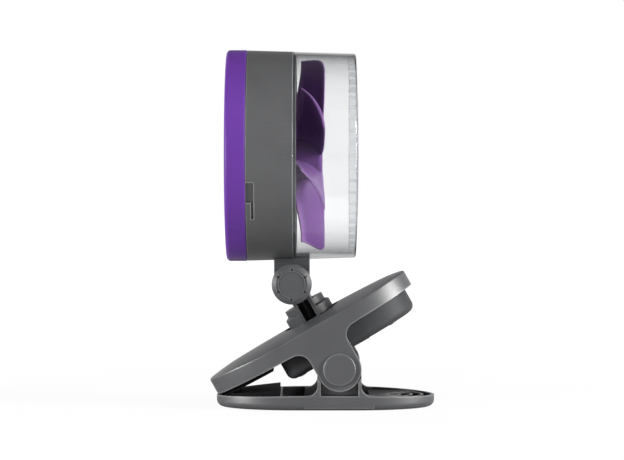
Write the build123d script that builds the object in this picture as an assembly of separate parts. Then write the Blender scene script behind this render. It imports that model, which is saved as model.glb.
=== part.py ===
from build123d import *
from math import asin, cos, degrees, pi, radians, sin, sqrt
import os

# Battery clip fan: a round fan head on a tilting and turning arm, on a sprung clip
# whose lower jaw is also the stand.
#
# Frame: millimetres and degrees, +Z up, +X the way the air blows, +Y to the far side.
# The origin is under the middle of the stand, on the surface that it rests on.
# Jaw frame: its origin is the clip's pivot, X along the lever and Z square to it.
# Head frame: its X axis is the fan's axis, from the seam of housing and grille.

# Clearances
SNUG = 0.02  # radial, a fixed pin in its hole
RUNNING = 0.05  # radial, a turning shaft in its hole
FACE_GAP = 0.2  # flat faces that turn on each other
PART_GAP = 0.3  # pieces that move past each other
SEAT_GAP = 0.1  # fixed pieces set into each other

# Lower jaw, which is also the stand
BASE_LENGTH = 144.8
JAW_WIDTH = 70.0
BASE_END = 53.0  # length of each half-ellipse end
BASE_RIM_MID = 9.8
BASE_RIM_END = 7.8
BASE_FLOOR = 2.4
BASE_WALL = 2.2
BASE_EDGE_R = 4.5
BASE_RIB_T = 1.1
RIDGE_INSETS = (29.0, 21.8, 14.2, 7.2)  # from the outline to each ridge
RIDGE_T = 1.4
RIDGE_TOP = 7.8
RIDGE_REACH = 43.4  # from the tray's end to where the ridges stop

# Clip pivot and ears
PIVOT_X = 9.0
PIVOT_Z = 27.1
EAR_R = 14.4
JAW_EAR_T = 2.8
BASE_EAR_T = 2.6
POST_W = 2.1
POST_INSET = 0.2
EAR_FOOT_R = 6.6
EAR_ROOT_R = 8.5
EAR_CLEAR = 0.6
PIN_R = 3.0
PIN_INSET = 1.2
CAP_R = 10.7
CAP_T = 1.5
CAP_EDGE_R = 0.7
CAP_PLUG = 0.9

# Torsion spring of the clip
WIRE_R = 1.1
SPRING_TURNS = 4
SPRING_PITCH = 2.75
UPPER_LEG = 25.0
LOWER_LEG_DROP = 35.0
GUIDE_T = 1.0
GUIDE_FROM = 14.0
GUIDE_TO = 27.0
GUIDE_TALL = 1.4

# Upper jaw
JAW_ANGLE = 29.6
OPENING = 50.0
JAW_BACK = -79.5
JAW_FRONT = 68.6
JAW_END = 54.0
JAW_WALL = 2.2
JAW_TOP_T = 2.4
JAW_LOW_MID = 22.2
JAW_LOW_END = 23.4
CROWN_TOP = 37.8
CROWN_BACK_RUN = 25.0
CROWN_BACK_KNEE_Z = 37.1
CROWN_BACK_Z = 34.5
CROWN_FRONT_RUN = 18.5
CROWN_FRONT_KNEE_Z = 36.3
CROWN_FRONT_Z = 33.8
CROWN_SIDE_DROP = 4.7
CROWN_EDGE_R = 1.4
JAW_RIBS = (8.5, 23.5, 37.5)  # from the biting end
JAW_RIB_T = 1.4

# Grip pads
PAD_INSET = 3.0
JAW_PAD_LENGTH = 41.3  # from the jaw's end
JAW_PAD_LOW = 20.2
JAW_PAD_TOP = 26.5
BASE_PAD_BACK_IN = 2.8  # from the tray's end
BASE_PAD_KNEE_IN = 11.0
BASE_PAD_END_IN = 42.1
BASE_PAD_BACK_Z = 5.3
BASE_PAD_KNEE_Z = 9.9
BASE_PAD_END_Z = 12.5

# Under cover
POD_START = -32.3
POD_INSET = 5.5
POD_SIDE = 6.6  # from the lever's side in to the pan
POD_LOW = 8.0
POD_WALL = 2.0
POD_EDGE_R = 5.0
POD_CORNER_R = 9.0
FLANGE_LOW = 23.6
FLANGE_T = 2.0
FLANGE_START = -37.0
COVER_SCREW_BACK = (9.3, 9.4)  # in from the pan's back and from its side
COVER_SCREW_FRONT = (24.1, 15.4)  # in from the lever's front and from the pan's side
POST_R = 3.4
SCREW_R = 1.25
SCREW_HEAD_R = 2.8
SCREW_HEAD_T = 1.2
HEAD_SINK = 0.6
SCREW_LENGTH = 10.0

# Swivel
SEAT_R = 20.5
SEAT_H = 35.9
SEAT_BOSS_R = 23.0
SEAT_BOSS_T = 4.2
HUB_R = 16.25
HUB_TOP = 42.8
HUB_STEP_TOP = 44.1
DISC_R = 13.85
DISC_TOP = 48.3
SPIGOT_R = 7.0
SWIVEL_WASHER_R = 12.5
SWIVEL_WASHER_T = 1.2
SPRING_WASHER_T = 0.6
SPRING_WASHER_RISE = 0.9
SPRING_WASHER_R = 11.4
SWIVEL_SCREW_R = 1.9
SWIVEL_HEAD_R = 4.2
SWIVEL_HEAD_T = 2.6
SWIVEL_SCREW_DEPTH = 11.0

# Arm and tilt joint
ARM_WIDTH = 12.8
ARM_DEPTH = 35.0
FLANGE_W = 2.3
WEB_T = 3.0
CHANNEL_FLOOR = 0.6
ARM_RIB_T = 1.0
ARM_RIB_OUT = 9.0
ARM_RIB_LOW = 44.0
KNUCKLE_H = 63.4
CHEEK_R = 11.9
CHEEK_T = 4.3
SADDLE_GAP = 0.7
BOLT_R = 2.5
BOLT_HEAD_AF = 8.0
BOLT_HEAD_T = 3.4
BOLT_RECESS = 2.6
FRICTION_R = 9.5
FRICTION_T = 0.7
KNOB_R = 13.2
KNOB_T = 9.0
KNOB_BEVEL = 2.8
KNOB_BEVEL_T = 2.0
KNOB_RING_R = 8.8
KNOB_RING_W = 0.6
KNOB_RING_T = 0.3
KNOB_NOTCHES = 6
KNOB_NOTCH_R = 0.8
INSERT_R = 4.0
INSERT_T = 6.0

# Neck
NECK_WIDTH = 23.7
NECK_BEHIND_SEAM = 1.0
NECK_DROP = 14.6  # from the drum's back edge down to the tilt axis
NECK_SCREWS = ((-9.4, -6.5), (-9.4, 6.5))
NECK_EDGE_R = 0.8

# Head shells
HOUSING_LENGTH = 30.6
HOUSING_STEP = 0.2  # the housing lies this far inside the cover
HOUSING_TAPER = 0.8
HOUSING_WALL = 2.2
LIP_LENGTH = 2.0
LIP_T = 1.6
BULKHEAD_FRONT = -4.2
BULKHEAD_T = 2.2
SPIGOT_LENGTH = 6.4
COVER_LENGTH = 14.2
COVER_R = 70.0
COVER_WALL = 2.2
COVER_DOME = 0.8
COVER_CORNER_R = 2.6
EDGE_BREAK = 0.4
LUG_ANGLES = (80.0, 200.0, 320.0)
LUG_WIDTH = 9.0
LUG_LENGTH = 1.8
LUG_BACK = 3.2
COVER_TWIST = 20.0

# Click window on the near side of the housing
WINDOW_FROM = 14.0
WINDOW_TO = 25.3
SLOT_TO = 35.5
WINDOW_LENGTH = 5.3
SLOT_LENGTH = 1.6
WINDOW_DEPTH = 1.0

# Clear shroud and finger guard
GUARD_GAP = 0.05
GRILLE_LENGTH = 41.4
GRILLE_TAPER = 1.2
GRILLE_WALL = 2.0
GRILLE_DOME = 1.6
GRILLE_CORNER_R = 1.8
LATTICE_BACK = 36.0
LATTICE_HUB_R = 13.0
LATTICE_LAND = 4.3  # from the shroud's front rim in to the outer ring
LATTICE_RIBS = (24, 24, 48, 48)
LATTICE_SWIRL = (5.0, 4.0, 3.0, 2.5)
RIB_T = 1.5
RING_T = 1.6

# Impeller
BLADES = 7
BLADE_TIP_GAP = 5.5  # from the drum's outside at the seam in to the blade tips
BLADE_OVERRUN = 2.5
BLADE_T = 1.7
BLADE_CORNER_R = 3.5
BLADE_FIRST = 200.5
HUB_CUP_R = 17.0
HUB_CUP_BACK = 1.0
HUB_CUP_FRONT = 19.2
HUB_CUP_WALL = 2.0
HUB_CUP_CORNER_R = 3.0
HUB_BOSS_R = 4.2
# Motor
MOTOR_R = 12.0
MOTOR_LENGTH = 25.0
MOTOR_CAP_T = 2.4
MOTOR_BOSS_R = 3.0
MOTOR_BOSS_T = 1.6
SHAFT_R = 1.0
SHAFT_BACK = 8.0
SLEEVE_T = 1.5
SLEEVE_LENGTH = 8.0
MOTOR_SCREW_R = 1.25
MOTOR_SCREW_OFF = 8.0
MOTOR_SCREW_HEAD_R = 2.4
MOTOR_SCREW_HEAD_T = 1.4
MOTOR_SCREW_DEPTH = 3.0

# Batteries and contacts
CELL_R = 16.9
CELL_LENGTH = 59.6
CELL_NUB_R = 4.6
CELL_NUB_T = 1.4
CELL_Y = 36.0
CELL_X = -24.4
CONTACT_T = 0.5
CONTACT_W = 16.0
SPRING_SPACE = 5.0
CONTACT_WALL_T = 1.8
CONTACT_WALL_W = 26.0
CONTACT_WALL_BACK = -38.0

# Wires, each round corners in the head frame
WIRE_COVER_R = 0.7
WIRE_BEND_R = 4.0
TERMINAL_Y = 6.0
TERMINAL_T = 0.6
SOLDER_Z = 35.45
WIRE_ROUTES = (
    ((-24.4, -28.6, SOLDER_Z), (-31.0, -16.0, 33.0), (-35.8, -7.1, 10.0), (-35.8, -7.1, 0.8)),
    ((-24.4, 43.4, SOLDER_Z), (-19.0, 53.5, 32.5), (-15.0, 61.8, 20.0), (-15.0, 61.8, 11.8)),
    (
        (-15.0, 61.8, -11.8),
        (-15.5, 61.0, -22.0),
        (-22.0, 47.0, -42.5),
        (-31.0, 20.0, -43.5),
        (-35.8, 7.1, -14.0),
        (-35.8, 7.1, -0.8),
    ),
    ((-24.4, -28.6, -SOLDER_Z), (-27.0, -10.0, -37.0), (-27.0, 10.0, -37.0), (-24.4, 28.6, -SOLDER_Z)),
)

# Slide switch on the far side
SWITCH_X = -15.0
SWITCH_POCKET_X = 14.0
SWITCH_POCKET_Z = 28.0
SWITCH_SINK = 1.7
SWITCH_PAD_T = 2.4
SLIDER_X = 8.0
SLIDER_Z = 9.0
SLIDER_T = 1.9
STEM_X = 3.0
STEM_Z = 3.0
STEM_T = 4.4
SWITCH_TRAVEL = 8.0
SWITCH_BODY_X = 11.0
SWITCH_BODY_Z = 22.0
SWITCH_BODY_T = 5.5
GRIP_RIBS = 5
GRIP_RIB_T = 0.7

SPRING_R = POD_LOW - WIRE_R - SEAT_GAP
LEG_FALL = PIVOT_Z - (SPRING_R + WIRE_R) * cos(radians(LOWER_LEG_DROP)) - BASE_FLOOR
LOWER_LEG = (LEG_FALL - RUNNING) / sin(radians(LOWER_LEG_DROP))
BASE_PAD_BACK = BASE_PAD_BACK_IN - BASE_LENGTH / 2
BASE_PAD_KNEE = BASE_PAD_KNEE_IN - BASE_LENGTH / 2
BASE_PAD_END = BASE_PAD_END_IN - BASE_LENGTH / 2
JAW_PAD_END = JAW_BACK + JAW_PAD_LENGTH
POD_HALF_WIDTH = JAW_WIDTH / 2 - POD_SIDE
CROWN_KNEES = ((JAW_BACK + CROWN_BACK_RUN, CROWN_BACK_KNEE_Z), (JAW_FRONT - CROWN_FRONT_RUN, CROWN_FRONT_KNEE_Z))
CROWN_ENDS = ((JAW_BACK, CROWN_BACK_Z), (JAW_FRONT, CROWN_FRONT_Z))
COVER_SCREWS = (
    (POD_START + COVER_SCREW_BACK[0], POD_HALF_WIDTH - COVER_SCREW_BACK[1]),
    (JAW_FRONT - COVER_SCREW_FRONT[0], POD_HALF_WIDTH - COVER_SCREW_FRONT[1]),
)
HOUSING_R_BACK = COVER_R - HOUSING_STEP
HOUSING_R_SEAM = HOUSING_R_BACK - HOUSING_TAPER
GRILLE_R_FRONT = HOUSING_R_SEAM - GRILLE_TAPER
HEAD_RISE = HOUSING_R_BACK + NECK_DROP
SWITCH_FACE = HOUSING_R_SEAM - SWITCH_SINK
LATTICE_PITCH = (GRILLE_R_FRONT - LATTICE_LAND - LATTICE_HUB_R) / len(LATTICE_RIBS)
LATTICE_RINGS = [LATTICE_HUB_R + LATTICE_PITCH * i for i in range(len(LATTICE_RIBS) + 1)]
BLADE_TIP_R = HOUSING_R_SEAM - BLADE_TIP_GAP
# Radius, back edge, front edge, sweep and middle angle of each blade section
BLADE_SECTIONS = (
    (14.0, 2.0, 18.6, 42.0, 9.0),
    (28.0, 0.8, 19.8, 38.0, 5.0),
    (46.0, 3.6, 20.4, 31.0, 2.0),
    (BLADE_TIP_R + BLADE_OVERRUN, 4.6, 20.4, 26.6, 0.0),
)
PIVOT = Location((PIVOT_X, 0, PIVOT_Z), (0, -JAW_ANGLE, 0))
KNUCKLE = PIVOT * Pos(0, 0, KNUCKLE_H)
TILT_X = KNUCKLE.position.X
TILT_Z = KNUCKLE.position.Z
HEAD = Pos(TILT_X + NECK_BEHIND_SEAM, 0, TILT_Z + HEAD_RISE)
EAR_OUT = JAW_WIDTH / 2
EAR_IN = EAR_OUT - JAW_EAR_T
BASE_EAR_OUT = EAR_IN - PART_GAP
BASE_EAR_IN = BASE_EAR_OUT - BASE_EAR_T
CHEEK_IN = ARM_DEPTH / 2 - CHEEK_T
TONGUE_HALF = CHEEK_IN - FRICTION_T - FACE_GAP
BULKHEAD_BACK = BULKHEAD_FRONT - BULKHEAD_T
HOUSING_IN_BACK = HOUSING_R_BACK - HOUSING_WALL
SPIGOT_OUT = COVER_R - COVER_WALL - PART_GAP
SPIGOT_END = -HOUSING_LENGTH - SPIGOT_LENGTH
LUG_FRONT = -HOUSING_LENGTH - LUG_BACK


# Shared shapes


def oval(x_low, x_high, half_width, end_length, inset=0.0):
    """Long oval face: straight sides and half-ellipse ends, drawn in by inset."""
    left = x_low + end_length
    right = x_high - end_length
    r_x = end_length - inset
    r_y = half_width - inset
    outline = [
        EllipticalCenterArc((left, 0), r_x, r_y, start_angle=90, arc_size=180),
        Line((left, -r_y), (right, -r_y)),
        EllipticalCenterArc((right, 0), r_x, r_y, start_angle=-90, arc_size=180),
        Line((right, r_y), (left, r_y)),
    ]
    return make_face(outline)


def base_plan(inset=0.0):
    """Outline of the lower jaw seen from above."""
    return oval(-BASE_LENGTH / 2, BASE_LENGTH / 2, JAW_WIDTH / 2, BASE_END, inset)


def jaw_plan(inset=0.0):
    """Outline of the upper jaw, square to its lever."""
    return oval(JAW_BACK, JAW_FRONT, JAW_WIDTH / 2, JAW_END, inset)


def side_solid(face, y_low, y_high):
    """Extrude a face drawn in X and Z across Y, from y_low to y_high."""
    return Pos(0, y_high, 0) * extrude(Plane.XZ * face, y_high - y_low)


def box_between(low, high):
    """Box from its low corner to its high corner."""
    size = [b - a for a, b in zip(low, high)]
    middle = [(a + b) / 2 for a, b in zip(low, high)]
    return Pos(*middle) * Box(*size)


def arched_block(x_low, x_high, z_low, z_end, z_mid):
    """Block across the clip whose top is one long arc."""
    spare = 5.0
    outline = [
        Polyline(
            (x_low, z_end),
            (x_low - spare, z_end),
            (x_low - spare, z_low),
            (x_high + spare, z_low),
            (x_high + spare, z_end),
            (x_high, z_end),
        ),
        ThreePointArc((x_high, z_end), ((x_low + x_high) / 2, z_mid), (x_low, z_end)),
    ]
    return side_solid(make_face(outline), -JAW_WIDTH, JAW_WIDTH)


def rod(radius, y_low, y_high, x=0.0, z=0.0):
    """Cylinder along Y."""
    return Pos(x, (y_low + y_high) / 2, z) * Rot(90, 0, 0) * Cylinder(radius, y_high - y_low)


def post(radius, z_low, z_high, x=0.0, y=0.0):
    """Cylinder along Z."""
    return Pos(x, y, (z_low + z_high) / 2) * Cylinder(radius, z_high - z_low)


def axle(radius, x_low, x_high):
    """Cylinder along the fan's axis."""
    return Pos((x_low + x_high) / 2, 0, 0) * Rot(0, 90, 0) * Cylinder(radius, x_high - x_low)


def dome_arc(x_axis, x_edge, r_edge):
    """Arc about the fan's axis, from the axis out to (x_edge, r_edge)."""
    rise = x_axis - x_edge
    radius = (r_edge**2 + rise**2) / (2 * abs(rise))
    dip = radius - sqrt(radius**2 - (r_edge / 2) ** 2)
    middle = x_axis - dip if rise > 0 else x_axis + dip
    return ThreePointArc((x_axis, 0), (middle, r_edge / 2), (x_edge, r_edge))


def turned(points, corner_rounds=()):
    """Turn an outline of (x, radius) points about the fan's axis; rounds are (point, radius)."""
    face = make_face(Polyline(*points, close=True))
    for corner, radius in corner_rounds:
        near = face.vertices().sort_by_distance((corner[0], corner[1], 0))[0]
        face = fillet(near, radius)
    return revolve(Plane.XZ * face, Axis.X)


def ring_sector(x_low, x_high, r_low, r_high, angle_from, angle_to):
    """Sector of a ring about the fan's axis; the angle runs from +Y towards +Z."""
    profile = Pos((x_low + x_high) / 2, (r_low + r_high) / 2) * Rectangle(x_high - x_low, r_high - r_low)
    return revolve(profile, Axis.X, revolution_arc=angle_to - angle_from).rotate(Axis.X, angle_from)


def both_sides(shape):
    """The shape and its mirror image on the far side."""
    return shape + mirror(shape, about=Plane.XZ)


# Lower jaw


def ear_tongue(grow=0.0, length=60.0):
    """Round-ended ear outline about the pivot, standing up."""
    return Circle(EAR_R + grow) + Pos(0, length / 2) * Rectangle(2 * (EAR_R + grow), length)


def ear_sweep():
    """Room that the upper jaw's ears sweep beside the posts, in X and Z."""
    closed = Rot(0, 0, JAW_ANGLE) * ear_tongue(EAR_CLEAR)
    opened = Rot(0, 0, JAW_ANGLE - OPENING) * ear_tongue(EAR_CLEAR)
    return Pos(PIVOT_X, PIVOT_Z) * (closed + opened)


def base_ear():
    """Near-side mirror twin of one ear: a wall behind two posts, on spread feet."""
    foot_z = BASE_RIM_MID - 0.3
    low = BASE_FLOOR / 2
    tongue = Circle(EAR_R) + Pos(0, (low - PIVOT_Z) / 2) * Rectangle(2 * EAR_R, PIVOT_Z - low)
    foot = Pos(0, (foot_z + low) / 2 - PIVOT_Z) * Rectangle(2 * (EAR_R + 1.3 * EAR_FOOT_R), foot_z - low)
    profile = tongue + foot
    inner = [
        v
        for v in profile.vertices()
        if abs(v.Y - foot_z + PIVOT_Z) < 0.01 and abs(abs(v.X) - EAR_R) < 0.01
    ]
    profile = Pos(PIVOT_X, PIVOT_Z) * fillet(inner, EAR_FOOT_R)
    ear = side_solid(profile, BASE_EAR_IN, EAR_OUT - POST_INSET)
    ear &= extrude(base_plan(POST_INSET), 3 * PIVOT_Z)
    pocket = box_between(
        (PIVOT_X - EAR_R + POST_W, BASE_EAR_OUT, BASE_RIM_MID),
        (PIVOT_X + EAR_R - POST_W, EAR_OUT, 3 * PIVOT_Z),
    )
    return ear - pocket - side_solid(ear_sweep(), BASE_EAR_OUT, EAR_OUT)


def grip_ridges():
    """Nested curved ridges in the handle end of the tray."""
    ridges = []
    for inset in RIDGE_INSETS:
        ring = base_plan(inset) - base_plan(inset + RIDGE_T)
        ridges.append(extrude(Pos(0, 0, BASE_FLOOR / 2) * ring, RIDGE_TOP - BASE_FLOOR / 2))
    start = BASE_LENGTH / 2 - RIDGE_REACH
    keep = box_between((start, -JAW_WIDTH, 0), (BASE_LENGTH, JAW_WIDTH, RIDGE_TOP))
    return [ridge & keep for ridge in ridges]


def leg_guides(y_from, y_to, x_low, x_high, z_low, z_high):
    """Two low ribs either side of a spring leg that drifts from y_from to y_to."""
    room = WIRE_R + PART_GAP
    low = min(y_from, y_to) - room
    high = max(y_from, y_to) + room
    return [
        box_between((x_low, low - GUIDE_T, z_low), (x_high, low, z_high)),
        box_between((x_low, high, z_low), (x_high, high + GUIDE_T, z_high)),
    ]


def leg_drift(length):
    """How far a leg of that length runs sideways."""
    return coil_tangent(0).Y * length


def make_base_jaw():
    """Long oval tray with a rounded foot edge, two eared posts, a rib and grip ridges."""
    half = BASE_LENGTH / 2
    tray = extrude(base_plan(), 2 * BASE_RIM_MID)
    tray &= arched_block(-half, half, 0, BASE_RIM_END, BASE_RIM_MID)
    tray = fillet(tray.edges().group_by(Axis.Z)[0], BASE_EDGE_R)
    hollow = extrude(Pos(0, 0, BASE_FLOOR) * base_plan(BASE_WALL), 2 * BASE_RIM_MID)
    tray -= fillet(hollow.edges().group_by(Axis.Z)[0], BASE_EDGE_R - BASE_WALL)
    rib = box_between(
        (BASE_PAD_END + PART_GAP, -JAW_WIDTH, BASE_FLOOR / 2),
        (BASE_PAD_END + PART_GAP + BASE_RIB_T, JAW_WIDTH, BASE_RIM_MID - 0.5),
    )
    tray += rib & extrude(base_plan(BASE_WALL / 2), BASE_RIM_MID)
    tray += both_sides(base_ear())
    for ridge in grip_ridges():
        tray += ridge
    leg_y = coil_width() / 2
    tip_y = leg_y + leg_drift(LOWER_LEG)
    tray += leg_guides(leg_y, tip_y, GUIDE_FROM, GUIDE_TO, BASE_FLOOR / 2, BASE_FLOOR + 2 * GUIDE_TALL)
    return tray - rod(PIN_R + SNUG, -JAW_WIDTH, JAW_WIDTH, PIVOT_X, PIVOT_Z)


def make_base_grip_pad():
    """Rubber wedge in the biting end of the tray."""
    profile = Polyline(
        (BASE_PAD_BACK, BASE_FLOOR + SEAT_GAP),
        (BASE_PAD_END, BASE_FLOOR + SEAT_GAP),
        (BASE_PAD_END, BASE_PAD_END_Z),
        (BASE_PAD_KNEE, BASE_PAD_KNEE_Z),
        (BASE_PAD_BACK, BASE_PAD_BACK_Z),
        close=True,
    )
    block = extrude(Pos(0, 0, BASE_FLOOR + SEAT_GAP) * base_plan(BASE_WALL + SEAT_GAP), 2 * BASE_RIM_MID)
    block = fillet(block.edges().group_by(Axis.Z)[0], BASE_EDGE_R - BASE_WALL - SEAT_GAP)
    return block & side_solid(make_face(profile), -JAW_WIDTH, JAW_WIDTH)


def make_pivot_pin():
    """Steel pin through both pairs of ears."""
    end = EAR_OUT - PIN_INSET
    pin = rod(PIN_R, -end, end, PIVOT_X, PIVOT_Z)
    return chamfer(pin.edges(), 0.4)


# Torsion spring: one unbroken wire, its coil a chain of arcs through a helix


def coil_point(angle):
    """Point on the wire's centre line, in X, Y and Z."""
    start = 90.0 + JAW_ANGLE
    along = SPRING_PITCH * (angle - start) / 360 - coil_width() / 2
    return Vector(
        PIVOT_X + SPRING_R * cos(radians(angle)),
        along,
        PIVOT_Z + SPRING_R * sin(radians(angle)),
    )


def coil_tangent(angle):
    """Direction of the wire at that angle."""
    rise = SPRING_PITCH / (2 * pi)
    return Vector(-SPRING_R * sin(radians(angle)), rise, SPRING_R * cos(radians(angle))).normalized()


def coil_width():
    """Length of the coil along the pivot, from centre line to centre line."""
    return SPRING_PITCH * (SPRING_TURNS + coil_extra() / 360)


def coil_extra():
    """Part turn from the upper leg round to the lower leg."""
    return 270.0 - LOWER_LEG_DROP - (90.0 + JAW_ANGLE)


def biarc(p1, t1, p2, t2):
    """Two arcs that join p1 to p2 and keep both directions."""
    chord = p2 - p1
    spread = 2 * (1 - t1.dot(t2))
    along = chord.dot(t1 + t2)
    reach = (sqrt(along**2 + spread * chord.dot(chord)) - along) / spread
    q1 = p1 + t1 * reach
    q2 = p2 - t2 * reach
    middle = (q1 + q2) * 0.5
    return [
        Edge.make_tangent_arc(p1, t1, middle),
        Edge.make_tangent_arc(middle, (q2 - q1).normalized(), p2),
    ]


def make_torsion_spring():
    """Coil about the pivot pin with one leg under the lever and one on the tray's floor."""
    first = 90.0 + JAW_ANGLE
    last = first + 360.0 * SPRING_TURNS + coil_extra()
    steps = 2 * SPRING_TURNS + 1
    angles = [first + (last - first) * i / steps for i in range(steps + 1)]
    start = coil_point(first) - coil_tangent(first) * UPPER_LEG
    end = coil_point(last) + coil_tangent(last) * LOWER_LEG
    path = [Edge.make_line(start, coil_point(first))]
    for a, b in zip(angles, angles[1:]):
        path += biarc(coil_point(a), coil_tangent(a), coil_point(b), coil_tangent(b))
    path.append(Edge.make_line(coil_point(last), end))
    section = Plane(start, z_dir=coil_tangent(first)) * Circle(WIRE_R)
    print("spring turn gap", round(SPRING_PITCH - 2 * WIRE_R, 3))
    return sweep(section, path=Wire(path))


# Upper jaw, in the jaw frame


def crown_line(drop):
    """The crown's ridge as one run of tangent curves, moved down by drop."""
    down = Vector(0, 0, -drop)
    knees = [Vector(x, 0, z) + down for x, z in CROWN_KNEES]
    ends = [Vector(x, 0, z) + down for x, z in CROWN_ENDS]
    top = Vector((JAW_BACK + JAW_FRONT) / 2, 0, CROWN_TOP) + down
    middle = Edge.make_three_point_arc(knees[0], top, knees[1])
    right = Edge.make_tangent_arc(knees[1], middle % 1, ends[1])
    left = Edge.make_tangent_arc(knees[0], (middle % 0) * -1, ends[0])
    spare = 6.0
    right_end = Edge.make_line(ends[1], ends[1] + (right % 1) * spare)
    left_end = Edge.make_line(ends[0] + (left % 1) * spare, ends[0])
    back = Edge.make_tangent_arc(ends[0], (left % 1) * -1, knees[0])
    return Wire([left_end, back, middle, right, right_end])


def crown_block(drop=0.0):
    """Everything below the crowned top, moved down by drop."""
    half = JAW_WIDTH / 2
    wide = half + 5.0
    side = -CROWN_SIDE_DROP
    depth = -CROWN_TOP
    outline = [
        ThreePointArc((-half, side), (0, 0), (half, side)),
        Polyline((half, side), (wide, side), (wide, depth), (-wide, depth), (-wide, side), (-half, side)),
    ]
    ridge = crown_line(drop)
    start = Plane(ridge @ 0, x_dir=(0, 1, 0), z_dir=ridge % 0)
    return sweep(start * make_face(outline), path=ridge)


def jaw_ear():
    """One ear: straight tongue, round at the pivot, flared into the lever's side."""
    top = JAW_LOW_MID + 6.0
    wide = 2 * (EAR_R + 1.3 * EAR_ROOT_R)
    profile = ear_tongue(length=top) + Pos(0, (JAW_LOW_MID + top) / 2) * Rectangle(wide, top - JAW_LOW_MID)
    roots = [
        v
        for v in profile.vertices()
        if abs(v.Y - JAW_LOW_MID) < 0.01 and abs(abs(v.X) - EAR_R) < 0.01
    ]
    return side_solid(fillet(roots, EAR_ROOT_R), EAR_IN, EAR_OUT) & extrude(
        Pos(0, 0, -EAR_R) * jaw_plan(), 3 * EAR_R + top
    )


def cover_screw_spots():
    """Places of the under cover's four screws, in the jaw frame."""
    return [(x, side * y) for x, y in COVER_SCREWS for side in (-1, 1)]


def make_upper_jaw():
    """Crowned lever, open underneath, with two ears and a round seat for the swivel."""
    low = JAW_LOW_MID - 4.0
    under = arched_block(JAW_BACK, JAW_FRONT, 0, JAW_LOW_END, JAW_LOW_MID)
    body = extrude(Pos(0, 0, low) * jaw_plan(), 2 * CROWN_TOP) & crown_block()
    body -= under
    rim = [edge for edge in body.edges() if edge.center().Z > CROWN_TOP - 2 * CROWN_SIDE_DROP]
    body = fillet(rim, CROWN_EDGE_R)
    hollow = extrude(Pos(0, 0, low) * jaw_plan(JAW_WALL), 2 * CROWN_TOP) & crown_block(JAW_TOP_T)
    inside = extrude(Pos(0, 0, low) * jaw_plan(JAW_WALL / 2), 2 * CROWN_TOP) & crown_block(JAW_TOP_T / 2)
    body -= hollow
    fittings = post(SEAT_BOSS_R, SEAT_H - SEAT_BOSS_T, CROWN_TOP)
    for inset in JAW_RIBS:
        x = JAW_BACK + inset
        fittings += box_between(
            (x - JAW_RIB_T / 2, -JAW_WIDTH, JAW_PAD_TOP + SEAT_GAP),
            (x + JAW_RIB_T / 2, JAW_WIDTH, CROWN_TOP),
        )
    for x, y in cover_screw_spots():
        fittings += post(POST_R, FLANGE_LOW - 4.0, CROWN_TOP, x, y)
    body += (fittings & inside) - under
    for x, y in cover_screw_spots():
        body += post(POST_R, POD_LOW + POD_WALL + SEAT_GAP, FLANGE_LOW + 1, x, y)
        body -= post(SCREW_R + SNUG, POD_LOW, POD_LOW + HEAD_SINK + SCREW_LENGTH + 1, x, y)
    body += both_sides(jaw_ear())
    body -= post(SEAT_R, SEAT_H, 2 * CROWN_TOP)
    body -= post(SPIGOT_R + RUNNING, 0, 2 * CROWN_TOP)
    return body - rod(PIN_R + RUNNING, -JAW_WIDTH, JAW_WIDTH)


def make_pivot_caps():
    """Flat round caps over the pin's ends, pressed into the ears."""
    disc = rod(CAP_R, EAR_OUT, EAR_OUT + CAP_T)
    disc = fillet(disc.edges().group_by(Axis.Y)[-1], CAP_EDGE_R)
    return both_sides(disc + rod(PIN_R - SNUG, EAR_OUT - CAP_PLUG, EAR_OUT))


def make_jaw_grip_pad():
    """Rubber block in the biting end of the upper jaw."""
    block = extrude(Pos(0, 0, JAW_PAD_LOW) * jaw_plan(PAD_INSET), JAW_PAD_TOP - JAW_PAD_LOW)
    return block & box_between((JAW_BACK, -JAW_WIDTH, 0), (JAW_PAD_END, JAW_WIDTH, CROWN_TOP))


def pod_plan(inset=0.0):
    """Outline of the under cover's pan."""
    start = POD_START + inset
    half = POD_HALF_WIDTH - inset
    keep = Pos(start + JAW_FRONT, 0) * Rectangle(2 * JAW_FRONT, 2 * half)
    plan = jaw_plan(POD_INSET + inset) & keep
    corners = plan.vertices().filter_by(lambda v: abs(v.X - start) < 0.01)
    return fillet(corners, POD_CORNER_R - inset)


def make_jaw_under_cover():
    """Deep pan with a flange that closes the lever's underside."""
    top = FLANGE_LOW + FLANGE_T
    pan = extrude(Pos(0, 0, POD_LOW) * pod_plan(), top - POD_LOW)
    pan = fillet(pan.edges().group_by(Axis.Z)[0], POD_EDGE_R)
    keep = Pos(FLANGE_START + JAW_FRONT, 0) * Rectangle(2 * JAW_FRONT, JAW_WIDTH)
    flange = jaw_plan(JAW_EAR_T + SEAT_GAP) & keep
    pan += extrude(Pos(0, 0, FLANGE_LOW) * flange, FLANGE_T)
    inner = extrude(Pos(0, 0, POD_LOW + POD_WALL) * pod_plan(POD_WALL), top)
    pan -= fillet(inner.edges().group_by(Axis.Z)[0], POD_EDGE_R - POD_WALL)
    leg_y = -coil_width() / 2
    tip_y = leg_y - leg_drift(UPPER_LEG)
    pan += leg_guides(leg_y, tip_y, GUIDE_FROM, GUIDE_TO, POD_LOW - GUIDE_TALL, POD_LOW + POD_WALL / 2)
    for x, y in cover_screw_spots():
        pan -= post(SCREW_R + PART_GAP, 0, top, x, y)
        pan -= post(SCREW_HEAD_R + PART_GAP, 0, POD_LOW + HEAD_SINK, x, y)
    return pan


def cross_head(radius, height):
    """Low round head above its own base, with a cross recess on top."""
    head = Pos(0, 0, height / 2) * Cylinder(radius, height)
    head = chamfer(head.edges().group_by(Axis.Z)[-1], height / 3)
    reach = 0.9 * radius
    cross = Box(reach, reach / 5, height) + Box(reach / 5, reach, height)
    return head - Pos(0, 0, height) * cross


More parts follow.
